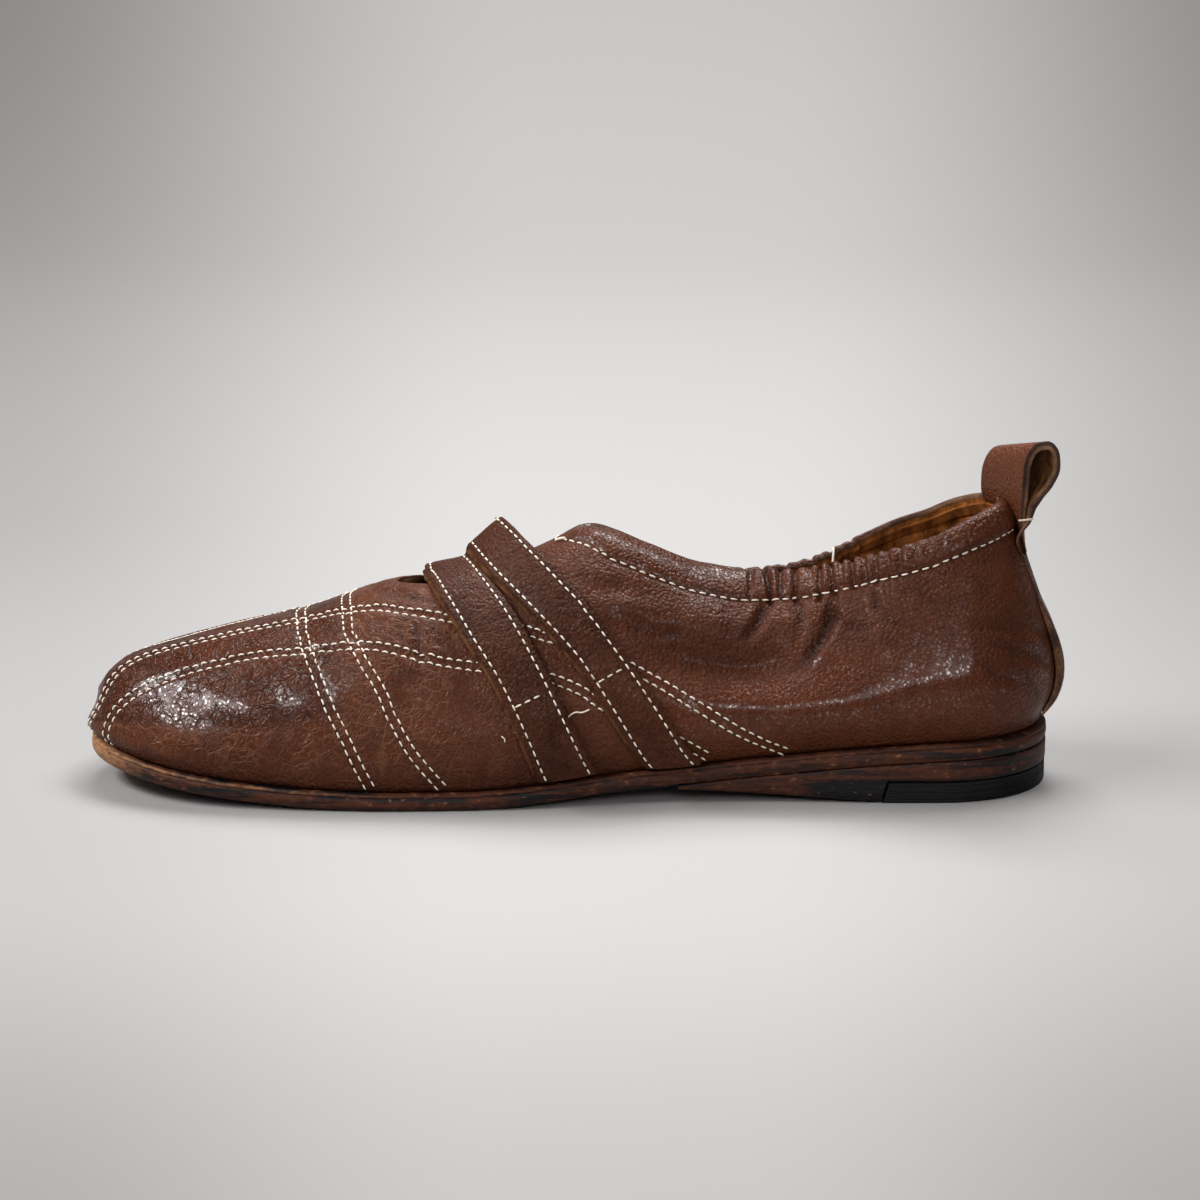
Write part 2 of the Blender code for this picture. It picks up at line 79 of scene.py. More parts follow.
class Table:
    """Rows of sizes, read between the rows on a smooth curve that never overshoots them."""

    def __init__(self, names: tuple[str, ...], rows: list[tuple[float, ...]]) -> None:
        """Keeps the rows by column.

        Args:
            names: the columns' names; the rows go by the first.
            rows: the sizes, in rising order of the first column.
        """
        columns = np.array(rows, float).T
        self.at = columns[0]
        self.columns = dict(zip(names[1:], columns[1:]))
        self.slopes = {name: self.slopes_of(values) for name, values in self.columns.items()}

    def slopes_of(self, values: Array) -> Array:
        """Works out the curve's slope at each row.

        Args:
            values: one column.

        Returns:
            No slope at a peak or a dip, and a harmonic mean of the steps elsewhere.
        """
        steps = np.diff(values) / np.diff(self.at)
        before, after = steps[:-1], steps[1:]
        same_way = before * after > 0
        total = np.where(same_way, before + after, 1.0)
        inner = np.where(same_way, 2 * before * after / total, 0.0)
        return np.concatenate([steps[:1], inner, steps[-1:]])

    def __call__(self, name: str, where: Values) -> Array:
        """Reads one column.

        Args:
            name: the column.
            where: places along the table's first column.

        Returns:
            The sizes at those places.
        """
        values, slopes = self.columns[name], self.slopes[name]
        where = np.clip(np.asarray(where, float), self.at[0], self.at[-1])
        row = np.clip(np.searchsorted(self.at, where, side="right") - 1, 0, len(self.at) - 2)
        span = self.at[row + 1] - self.at[row]
        t = (where - self.at[row]) / span
        start = values[row] * (1 + 2 * t) * (1 - t) ** 2 + slopes[row] * span * t * (1 - t) ** 2
        end = values[row + 1] * t**2 * (3 - 2 * t) - slopes[row + 1] * span * t**2 * (1 - t)
        return start + end


# Half widths of the sole from its long axis, before its ends are rounded off
OUTLINE = Table(
    ("s", "lateral", "medial"),
    [
        (0, 31.5, 36.0), (40, 35.6, 42.0), (62, 38.4, 43.6), (82, 39.4, 43.0), (110, 38.2, 38.0),
        (135, 34.6, 30.4), (160, 31.6, 26.6), (185, 30.2, 27.0), (215, 31.0, 30.4), (262, 31.0, 31.0),
    ],
)
# Height that the arch and the heel add to the sole's underside
ARCH = Table(
    ("s", "height"),
    [(106, 0.0), (122, 1.1), (140, 3.2), (160, 5.0), (185, 7.3), (215, 10.2), (240, 11.5), (262, 11.6)],
)
# Height of the wedge's underside, with the step for the rubber
LIFT_FOOT = Table(
    ("s", "height"),
    [(160, 4.0), (181, 2.6), (200, 1.2), (213.9, 0.5), (215.5, 5.9), (262, 5.9)],
)
# The ridge from the toe to the opening: its height and shift, and the side's fullness and swell
RIDGE = Table(
    ("s", "height", "shift", "fullness", "bulge"),
    [
        (2.0, 24.3, 0.0, 2.0, 3.0), (5, 28.8, 0.0, 2.0, 2.8), (10, 32.4, 0.2, 2.05, 2.4),
        (20, 35.8, 0.6, 2.1, 2.0), (40, 40.9, 1.5, 2.15, 1.8), (60, 45.6, 2.2, 2.15, 1.8),
        (82, 53.1, 2.8, 2.1, 2.0), (105, 56.8, 3.0, 2.05, 2.4), (120, 61.8, 2.6, 2.0, 2.8),
        (128, 65.6, 2.0, 2.0, 3.0), (135, 68.9, 1.6, 2.0, 3.2),
    ],
)
# The collar's rim: half the opening's width, heights, the turn of the side in degrees, swell, casing
RIM = Table(
    ("s", "half_width", "lateral", "medial", "arc", "bulge", "casing"),
    [
        (135, 0.0, 68.9, 68.9, 90, 3.2, 8.0), (137, 2.4, 69.1, 68.6, 88, 3.2, 9.5),
        (142, 3.6, 68.4, 67.0, 85, 3.3, 12.5), (153, 4.3, 64.5, 62.3, 82, 3.5, 12.7),
        (167, 4.6, 59.5, 57.4, 79, 3.8, 12.2), (180, 4.9, 57.3, 55.6, 76, 4.0, 11.5),
        (190, 5.2, 57.5, 56.7, 74, 4.2, 11.0), (198, 6.0, 58.7, 58.6, 72, 4.3, 10.4),
        (206, 9.0, 60.9, 61.5, 70, 4.3, 9.4), (214, 13.0, 64.1, 65.0, 67, 4.3, 8.6),
        (222, 16.0, 67.3, 68.1, 63, 4.2, 8.6), (230, 17.0, 70.2, 70.6, 61, 4.1, 8.6),
    ],
)
# The rim round the heel, by degrees from the side to the back
HEEL_RIM = Table(
    ("angle", "height", "arc", "bulge"),
    [(0, 70.4, 61, 4.1), (30, 74.5, 60, 4.2), (60, 76.6, 60, 4.3), (90, 77.0, 60, 4.4)],
)
# How far the throat's edge lies below the ridge on each side
THROAT = Table(
    ("s", "lateral", "medial"),
    [
        (84.0, 0.0, 0.0), (85.2, 3.0, 4.0), (88, 5.0, 8.5), (93, 7.5, 14.0), (102, 11.0, 18.0),
        (112, 14.0, 20.5), (117, 13.0, 18.0), (120, 8.5, 10.0), (121, 0.0, 0.0),
    ],
)
# Straps by the share of the way up: where the two edges lie, and how far each stands off
STRAP_COLUMNS = ("share", "front", "rear", "lift_front", "lift_rear")
FRONT_STRAP = Table(
    STRAP_COLUMNS,
    [
        (0.03, 122.8, 138.2, 0.2, 0.2), (0.20, 117.6, 131.6, 0.2, 0.2), (0.40, 110.9, 125.0, 0.2, 0.2),
        (0.60, 102.4, 118.2, 0.2, 0.2), (0.80, 95.6, 110.6, 0.4, 0.5), (0.90, 93.4, 107.2, -0.5, 1.0),
        (1.00, 92.0, 104.0, -2.0, 1.8),
    ],
)
REAR_STRAP = Table(
    STRAP_COLUMNS,
    [
        (0.03, 151.1, 165.8, 0.2, 0.2), (0.20, 142.9, 157.8, 0.2, 0.2), (0.40, 133.1, 147.8, 0.2, 0.2),
        (0.60, 122.2, 136.4, 0.3, 0.4), (0.70, 116.6, 130.8, 0.7, 1.2), (0.80, 111.4, 126.0, 1.6, 3.0),
        (0.90, 107.4, 121.0, 2.8, 5.8), (1.00, 104.4, 116.6, 4.2, 9.4),
    ],
)
# The loop's middle line by steps along it, and how far it turns and tips in degrees
LOOP = Table(
    ("step", "s", "height", "turn", "tip"),
    [
        (0, 253.6, 62.5, 1, 0), (1, 251.9, 67.2, 5, 1), (1.8, 250.0, 72.0, 14, 4),
        (2.4, 249.0, 75.6, 22, 7), (3, 248.7, 79.2, 26, 10), (4, 248.8, 83.5, 27, 11),
        (5, 249.7, 87.4, 27, 11), (6, 251.9, 90.0, 27, 11), (7, 254.4, 90.4, 27, 11),
        (8, 256.5, 88.2, 27, 11), (9, 257.0, 84.4, 26, 10), (10, 255.6, 80.6, 24, 8),
        (11, 253.4, 77.2, 20, 6), (11.7, 252.5, 74.2, 14, 4), (12.3, 252.5, 71.4, 9, 2),
        (13.1, 252.9, 67.4, 4, 1), (14.2, 254.2, 62.5, 1, 0),
    ],
)


# Small tools


def to_scene(points: Array) -> Array:
    """Turns points of the shoe's measure into the scene's metres."""
    return (np.asarray(points, float) - ORIGIN) * MM


def smooth(t: Values) -> Array:
    """Eases a share from 0 to 1, and holds it there outside."""
    t = np.clip(t, 0, 1)
    return t * t * (3 - 2 * t)


def eased(start: float, end: float, count: int, start_eased: bool, end_eased: bool) -> Array:
    """Divides a stretch into steps.

    Args:
        start: where it starts.
        end: where it ends.
        count: number of steps.
        start_eased: whether the steps are closer together at the start.
        end_eased: whether they are closer together at the end.

    Returns:
        The places from start to end.
    """
    t = np.linspace(0, 1, count + 1)
    if start_eased and end_eased:
        t = (1 - np.cos(np.pi * t)) / 2
    elif start_eased:
        t = 1 - np.cos(np.pi * t / 2)
    elif end_eased:
        t = np.sin(np.pi * t / 2)
    return start + (end - start) * t


def round_end(distance: Values, length: float) -> Array:
    """Share of the full width at a distance from an end that is rounded over that length."""
    left = np.clip(1 - np.asarray(distance, float) / length, 0, 1)
    return np.sqrt(1 - left**2)


def turned(distance: Values, length: float) -> Array:
    """Share by which an edge that is rounded over a length turns in, at a distance from it."""
    return 1 - round_end(distance, length)


def soft_step(values: Values, step: Step) -> Array:
    """Eases from 0 to 1 over a step, which is a start and a width."""
    return smooth((values - step[0]) / step[1])


def bell(distance: Values, width: Values) -> Array:
    """Gives a bell curve: 1 at no distance, and next to nothing two widths away."""
    return np.exp(-((distance / width) ** 2))


def quarter_wave(t: float) -> float:
    """Rises from 0 to 1, steeply at first, and holds there."""
    return math.sin(math.pi * min(t, 1) / 2)


def unit(vectors: Array) -> Array:
    """Brings vectors to length one."""
    return vectors / np.maximum(np.linalg.norm(vectors, axis=-1, keepdims=True), 1e-12)


def along_path(path: Path, step: float) -> Array:
    """Draws a smooth line through given points.

    Args:
        path: points of girth and share.
        step: rough distance between the line's own points, in millimetres of girth.

    Returns:
        Points of girth and share, close together.
    """
    points = np.array(path, float)
    legs = np.hypot(np.diff(points[:, 0]), 60 * np.diff(points[:, 1]))
    knots = np.concatenate([[0], np.cumsum(legs)])
    where = np.linspace(0, knots[-1], max(int(knots[-1] / step), 4))
    rows = [(knot, *point) for knot, point in zip(knots, points)]
    line = Table(("way", "girth", "share"), rows)
    return np.column_stack([line("girth", where), line("share", where)])


# The last


@dataclass(frozen=True)
class Last:
    """The form that the shoe is made on, with the sole's own lines."""

    sole_length: float = 261.5
    sole_thickness: float = 4.7
    toe_spring: float = 7.8
    ball_start: float = 88.0
    heel_round: float = 32.0
    lateral_toe_round: float = 44.0
    medial_toe_round: float = 36.0
    gap: float = 0.3
    ledge: float = 2.0
    opening_front: float = 135.0
    rim_back: float = 247.6
    bulge_height: float = 0.27
    bulge_sharpness: float = 1.7
    fan_radius: float = 30.0
    column_step: float = 0.5

    @property
    def fan_start(self) -> float:
        """Where the columns start to fan round the heel."""
        return self.sole_length - self.heel_round

    @property
    def back(self) -> float:
        """Girth of the middle of the heel's back."""
        return self.fan_start + self.fan_radius * math.pi / 2

    def half_width(self, side: Side, s: Values, inset: float = 0.0) -> Array:
        """Measures from the long axis to the sole's edge.

        Args:
            side: the side of the shoe.
            s: places along the sole.
            inset: how far the edge is drawn in.

        Returns:
            The distances.
        """
        toe_round = self.lateral_toe_round if side is Side.LATERAL else self.medial_toe_round
        toe = round_end(s - inset, toe_round - inset)
        heel = round_end(self.sole_length - inset - s, self.heel_round - inset)
        return (OUTLINE(side.name.lower(), s) - inset) * toe * heel

    def underside(self, s: Values) -> Array:
        """Height of the outsole's underside: toe spring, flat forefoot, then the arch."""
        return self.toe_spring * np.clip(1 - s / self.ball_start, 0, 1) ** 2 + ARCH("height", s)

    def sole_top(self, s: Values) -> Array:
        """Height of the outsole's upper face."""
        return self.underside(s) + self.sole_thickness

    def outward(self, side: Side, s: float) -> Array:
        """Finds the way out of the shoe at the feather line.

        Args:
            side: the side of the shoe.
            s: place along it.

        Returns:
            A direction in plan.
        """
        if s <= self.ledge:
            return np.array([-1.0, 0.0])
        if s >= self.sole_length - self.ledge:
            return np.array([1.0, 0.0])
        step = 0.05
        low, high = max(s - step, self.ledge), min(s + step, self.sole_length - self.ledge)
        rise = self.half_width(side, high, self.ledge) - self.half_width(side, low, self.ledge)
        return unit(np.array([-float(rise), side.value * (high - low)]))

    def point(self, side: Side, girth: float, share: Values) -> Array:
        """Gives points of the last's surface.

        Args:
            side: the side of the shoe.
            girth: place along the side.
            share: places up the side.

        Returns:
            The points.
        """
        place = min(max(girth, self.ledge), self.back) / self.column_step
        number = min(int(place), int(self.back / self.column_step) - 1)
        blend = place - number
        ahead = column(self, side, number * self.column_step).at(share)
        return (1 - blend) * ahead + blend * column(self, side, (number + 1) * self.column_step).at(share)


class Column:
    """One line up the side of the last, from the feather line to the ridge or to the collar's rim."""

    SAMPLES = 72

    def __init__(self, last: Last, side: Side, girth: float) -> None:
        """Traces the line.

        Args:
            last: the form.
            side: the side of the shoe.
            girth: place along the side.
        """
        self.last, self.side, self.girth = last, side, girth
        turn = (girth - last.fan_start) / last.fan_radius
        s = self.set_heel(turn) if turn > 0 else self.set_side(girth)
        self.out = last.outward(side, s)
        self.foot_height = float(last.sole_top(s)) + last.gap
        self.casing = float(RIM("casing", s))
        self.points = self.trace()
        legs = np.linalg.norm(np.diff(self.points, axis=0), axis=1)
        self.lengths = np.concatenate([[0], np.cumsum(legs)])
        self.length = float(self.lengths[-1])

    def set_side(self, s: float) -> float:
        """Sets the line's two ends ahead of the heel, and gives the s of its foot.

        Args:
            s: place along the side.

        Returns:
            The s of its foot.
        """
        sign, last = self.side.value, self.last
        self.foot = np.array([s, sign * float(last.half_width(self.side, s, last.ledge))])
        shift = float(RIDGE("shift", s))
        if s <= last.opening_front:
            self.top = np.array([s, shift])
            self.top_height, self.arc = float(RIDGE("height", s)), math.radians(90)
            self.fullness, self.bulge = float(RIDGE("fullness", s)), float(RIDGE("bulge", s))
        else:
            self.top = np.array([s, shift + sign * float(RIM("half_width", s))])
            self.top_height = float(RIM(self.side.name.lower(), s))
            self.arc = math.radians(float(RIM("arc", s)))
            self.fullness, self.bulge = 2.0, float(RIM("bulge", s))
        return s

    def set_heel(self, turn: float) -> float:
        """Sets the line's two ends round the heel, and gives the s of its foot.

        Args:
            turn: the way round the heel, in radians.

        Returns:
            The s of its foot.
        """
        sign, last, angle = self.side.value, self.last, math.degrees(turn)
        s = last.fan_start + (last.heel_round - last.ledge) * math.sin(turn)
        half = float(OUTLINE(self.side.name.lower(), s)) - last.ledge
        self.foot = np.array([s, sign * half * math.cos(turn)])
        rim_s = last.fan_start + (last.rim_back - last.fan_start) * math.sin(turn)
        rim_half = float(RIM("half_width", last.fan_start))
        self.top = np.array([rim_s, float(RIDGE("shift", s)) + sign * rim_half * math.cos(turn)])
        self.top_height = float(HEEL_RIM("height", angle))
        self.arc = math.radians(float(HEEL_RIM("arc", angle)))
        self.fullness, self.bulge = 2.0, float(HEEL_RIM("bulge", angle))
        return s

    def trace(self) -> Array:
        """Gives points up the wall: a rounded arch that swells outwards above the feather line.

        Returns:
            The points, from the foot up.
        """
        last = self.last
        turn = np.linspace(0, self.arc, self.SAMPLES)
        power = 2 / self.fullness
        cos, sin = np.clip(np.cos(turn), 0, 1) ** power, np.sin(turn) ** power
        inward, up = (1 - cos) / (1 - cos[-1]), sin / sin[-1]
        swell = (up / last.bulge_height * np.exp(1 - up / last.bulge_height)) ** last.bulge_sharpness
        swell *= self.bulge * np.sqrt(np.clip(1 - up, 0, 1) / (1 - last.bulge_height))
        plan = self.foot + inward[:, None] * (self.top - self.foot) + swell[:, None] * self.out
        height = self.foot_height + up * (self.top_height - self.foot_height)
        return np.column_stack([plan, height])

    def at(self, share: Values) -> Array:
        """Points at shares of the line's length above the feather line."""
        where = np.clip(share, 0, 1) * self.length
        return np.stack([np.interp(where, self.lengths, axis) for axis in self.points.T], axis=-1)


@functools.cache
def column(last: Last, side: Side, girth: float) -> Column:
    """Traces a column of the last once, and keeps it."""
    return Column(last, side, girth)


# Working on meshes


def select_only(*pieces: Piece) -> None:
    """Selects pieces and nothing else, and makes the first of them the active one.

    Args:
        pieces: the pieces.
    """
    bpy.ops.object.select_all(action="DESELECT")
    for piece in pieces:
        piece.select_set(True)
    bpy.context.view_layer.objects.active = pieces[0]


def placed(name: str, data: bpy.types.ID) -> Piece:
    """Puts new data into the scene.

    Args:
        name: name of the new piece.
        data: its mesh, curve, light or camera.

    Returns:
        The piece.
    """
    piece = bpy.data.objects.new(name, data)
    bpy.context.scene.collection.objects.link(piece)
    return piece


def dress(piece: Piece, *finishes: Material) -> None:
    """Gives a piece its finishes, in the order of its material numbers."""
    for finish in finishes:
        piece.data.materials.append(finish)


def shade(piece: Piece, sharp: float = 50.0) -> None:
    """Shades a piece smooth, but not over edges that turn by more than an angle in degrees."""
    piece.data.shade_smooth()
    piece.data.set_sharp_from_angle(angle=math.radians(sharp))


@contextmanager
def editing(piece: Piece) -> Iterator[None]:
    """Opens one piece in edit mode with all of it selected.

    Args:
        piece: the piece to work on.

    Returns:
        A context that leaves edit mode at its end.
    """
    select_only(piece)
    bpy.ops.object.mode_set(mode="EDIT")
    bpy.ops.mesh.select_all(action="SELECT")
    yield
    bpy.ops.object.mode_set(mode="OBJECT")


def shaped_grid(name: str, points: Array) -> Piece:
    """Adds a grid and lays it over a sheet of points.

    Args:
        name: name of the new piece.
        points: points in the shoe's measure, shaped (along, across, 3).

    Returns:
        The piece, with a vertex for each point in the points' own order.
    """
    along, across = points.shape[:2]
    bpy.ops.object.select_all(action="DESELECT")
    bpy.ops.mesh.primitive_grid_add(x_subdivisions=across - 1, y_subdivisions=along - 1, size=1.0)
    piece = bpy.context.object
    piece.name = piece.data.name = name
    piece.data.vertices.foreach_set("co", to_scene(points).ravel())
    piece.data.update()
    return piece


def joined(name: str, pieces: list[Piece]) -> Piece:
    """Joins pieces into the first of them.

    Args:
        name: the joined piece's name.
        pieces: the pieces.

    Returns:
        The joined piece.
    """
    select_only(*pieces)
    bpy.ops.object.join()
    pieces[0].name = pieces[0].data.name = name
    return pieces[0]


def merge_doubles(piece: Piece, distance: float = 0.004) -> None:
    """Merges the points of a piece that lie together."""
    with editing(piece):
        bpy.ops.mesh.remove_doubles(threshold=distance * MM)


def face_away(piece: Piece, centre: Array) -> None:
    """Turns the faces of a sheet away from a point.

    Args:
        piece: the sheet.
        centre: the point, in the shoe's measure.
    """
    count = len(piece.data.polygons)
    places, normals = np.zeros(count * 3), np.zeros(count * 3)
    piece.data.polygons.foreach_get("center", places)
    piece.data.polygons.foreach_get("normal", normals)
    outwards = (places.reshape(-1, 3) - to_scene(centre)) * normals.reshape(-1, 3)
    if outwards.sum() < 0:
        with editing(piece):
            bpy.ops.mesh.flip_normals()


def read_points(piece: Piece) -> tuple[Array, Array]:
    """Reads a mesh.

    Args:
        piece: the mesh's piece.

    Returns:
        Its points, in metres, and their normals.
    """
    count = len(piece.data.vertices)
    points, normals = np.zeros(count * 3), np.zeros(count * 3)
    piece.data.vertices.foreach_get("co", points)
    piece.data.vertex_normals.foreach_get("vector", normals)
    return points.reshape(-1, 3), normals.reshape(-1, 3)


def write_points(piece: Piece, points: Array) -> None:
    """Puts a mesh's points at new places, in metres."""
    piece.data.vertices.foreach_set("co", points.ravel())
    piece.data.update()


def skin_tree(piece: Piece) -> BVHTree:
    """Makes a mesh ready for finding the nearest place on it."""
    faces = [tuple(face.vertices) for face in piece.data.polygons]
    return BVHTree.FromPolygons([Vector(point) for point in read_points(piece)[0]], faces)


def read_attribute(piece: Piece, name: str) -> Array:
    """Reads one of a mesh's point attributes.

    Args:
        piece: the mesh's piece.
        name: the attribute.

    Returns:
        Its value at each point.
    """
    values = np.zeros(len(piece.data.vertices))
    piece.data.attributes[name].data.foreach_get("value", values)
    return values


def write_attribute(piece: Piece, name: str, values: Array) -> None:
    """Writes one of a mesh's point attributes, which it makes if it is new.

    Args:
        piece: the mesh's piece.
        name: the attribute.
        values: its value at each point.
    """
    attributes = piece.data.attributes
    layer = attributes.get(name) or attributes.new(name, "FLOAT", "POINT")
    layer.data.foreach_set("value", np.asarray(values, np.float32).ravel())


def plain_wear(piece: Piece, crackle: float, wax: float, worn: float = 0.0, dirt: float = 0.0) -> None:
    """Notes the same wear all over a piece, for its leather, with no painted crease shade.

    Args:
        piece: the piece.
        crackle: how far its wax is broken.
        wax: how thick its wax is.
        worn: how far its colour is rubbed off.
        dirt: how far its colour is darkened evenly, by grime and painted shade.
    """
    values = {"crackle": crackle, "hollow": 0.0, "worn": worn, "dirt": dirt, "wax": wax}
    for name, value in values.items():
        write_attribute(piece, name, np.full(len(piece.data.vertices), value))


def apply_modifiers(piece: Piece) -> None:
    """Applies every modifier of a piece in turn.

    Args:
        piece: the piece.
    """
    select_only(piece)
    for modifier in list(piece.modifiers):
        bpy.ops.object.modifier_apply(modifier=modifier.name)


def thicken(piece: Piece, thickness: Array) -> None:
    """Gives a sheet its wall, inwards, with its second finish inside and its third on the cut edges.

    Args:
        piece: the sheet.
        thickness: the wall's thickness at each point, in millimetres.
    """
    group = piece.vertex_groups.new(name="wall")
    thickest = float(thickness.max())
    for index, value in enumerate(thickness / thickest):
        group.add([index], float(value), "REPLACE")
    wall = piece.modifiers.new("wall", "SOLIDIFY")
    wall.thickness, wall.offset = thickest * MM, -1.0
    wall.vertex_group = group.name
    wall.material_offset, wall.material_offset_rim = 1, 2
    apply_modifiers(piece)


def undulate(points: Array, size: float, seed: float) -> Array:
    """Gives a gentle noise, about -1 to 1, over points in metres, with its swells' size in millimetres."""
    scaled = points / (size * MM) + seed
    return np.array([noise.noise(Vector(place)) for place in scaled])


def swelled(points: Array, swells: Swells) -> Array:
    """Adds up gentle noises over points, each with its depth, its size and its seed."""
    return sum(depth * undulate(points, size, seed) for depth, size, seed in swells)


def triangles(piece: Piece) -> int:
    """Counts a mesh's triangles."""
    return sum(face.loop_total - 2 for face in piece.data.polygons)


# Finishes


class Graph:
    """Adds nodes to one node tree and joins them up."""

    def __init__(self, tree: bpy.types.NodeTree) -> None:
        """Takes the tree to work on."""
        self.tree = tree

    def fill(self, node: Node, inputs: dict) -> None:
        """Links or sets a node's inputs.

        Args:
            node: the node.
            inputs: other nodes' sockets, or values, by the input's name or number.
        """
        for key, value in inputs.items():
            if isinstance(value, Socket):
                self.tree.links.new(value, node.inputs[key])
            else:
                node.inputs[key].default_value = value

    def add(self, kind: str, inputs: dict | None = None, **settings: object) -> Node:
        """Adds a node.

        Args:
            kind: the node's type.
            inputs: what its inputs are filled with.
            settings: the node's own settings.

        Returns:
            The node.
        """
        node = self.tree.nodes.new(kind)
        for key, value in settings.items():
            setattr(node, key, value)
        self.fill(node, inputs or {})
        return node

    def noise(self, vector: Socket, scale: float, detail: float = 3.0) -> Socket:
        """Adds a noise, with its scale in swells to the millimetre."""
        inputs = {"Vector": vector, "Scale": scale, "Detail": detail, "Roughness": 0.6}
        return self.add("ShaderNodeTexNoise", inputs).outputs["Fac"]

    def cells(self, vector: Socket, scale: float, feature: str) -> Socket:
        """Adds a distance in a pattern of cells, with its scale in cells to the millimetre."""
        inputs = {"Vector": vector, "Scale": scale}
        return self.add("ShaderNodeTexVoronoi", inputs, feature=feature).outputs["Distance"]

    def math(self, operation: str, *values: object) -> Socket:
        """Adds an operation on values."""
        return self.add("ShaderNodeMath", dict(enumerate(values)), operation=operation).outputs[0]

    def times(self, first: object, second: object) -> Socket:
        """Adds a product of two values."""
        return self.math("MULTIPLY", first, second)

    def times_plus(self, first: object, second: object, third: object) -> Socket:
        """Adds a product of two values, and a third on top."""
        return self.math("MULTIPLY_ADD", first, second, third)

    def weighted(self, first: object, weight: float, second: object, other: float) -> Socket:
        """Adds a sum of two values, each with its own weight."""
        return self.math("ADD", self.times(first, weight), self.times(second, other))

    def vector(self, operation: str, inputs: dict) -> Socket:
        """Adds an operation on vectors."""
        return self.add("ShaderNodeVectorMath", inputs, operation=operation).outputs[0]

    def ramp(self, value: object, low: float, high: float, start: float, end: float) -> Socket:
        """Adds a smooth step: from one value at the low end of a range to another at its high end."""
        inputs = dict(enumerate((value, low, high, start, end)))
        return self.add("ShaderNodeMapRange", inputs, interpolation_type="SMOOTHSTEP").outputs["Result"]

    def mix(self, share: object, *colors: object) -> Socket:
        """Adds a mix of two colours."""
        first, second = ((*color, 1.0) if isinstance(color, tuple) else color for color in colors)
        return self.add("ShaderNodeMix", {0: share, 6: first, 7: second}, data_type="RGBA").outputs[2]

    def millimetres(self) -> Socket:
        """Adds the place on the piece, in millimetres."""
        place = self.add("ShaderNodeTexCoord").outputs["Object"]
        return self.vector("SCALE", {0: place, "Scale": 1 / MM})

    def stretched(self, vector: Socket, scale: Place) -> Socket:
        """Adds a place that is stretched along the axes."""
        return self.add("ShaderNodeMapping", {"Vector": vector, "Scale": scale}).outputs[0]

    def attribute(self, name: str) -> Socket:
        """Adds one of the mesh's own attributes."""
        return self.add("ShaderNodeAttribute", attribute_name=name).outputs["Fac"]

    def group(self, tree: bpy.types.NodeTree, inputs: dict) -> Node:
        """Adds a node group."""
        return self.add("ShaderNodeGroup", inputs, node_tree=tree)

    def bump(self, height: Socket, depth: float) -> Socket:
        """Adds a relief of some height, over a depth in millimetres."""
        inputs = {"Height": height, "Distance": depth * MM, "Strength": 1.0}
        return self.add("ShaderNodeBump", inputs).outputs[0]


def new_group(name: str, inputs: dict[str, str], outputs: dict[str, str]) -> tuple[Graph, dict, Node]:
    """Starts a shader node group.

    Args:
        name: the group's name.
        inputs: its inputs' names and socket types.
        outputs: its outputs' names and socket types.

    Returns:
        The group's graph, its input sockets by name, and its output node.
    """
    tree = bpy.data.node_groups.new(name, "ShaderNodeTree")
    for label, kind in inputs.items():
        tree.interface.new_socket(label, in_out="INPUT", socket_type=kind)
    for label, kind in outputs.items():
        tree.interface.new_socket(label, in_out="OUTPUT", socket_type=kind)
    graph = Graph(tree)
    start, end = graph.add("NodeGroupInput"), graph.add("NodeGroupOutput")
    return graph, {label: start.outputs[label] for label in inputs}, end


VALUE, VECTOR = "NodeSocketFloat", "NodeSocketVector"


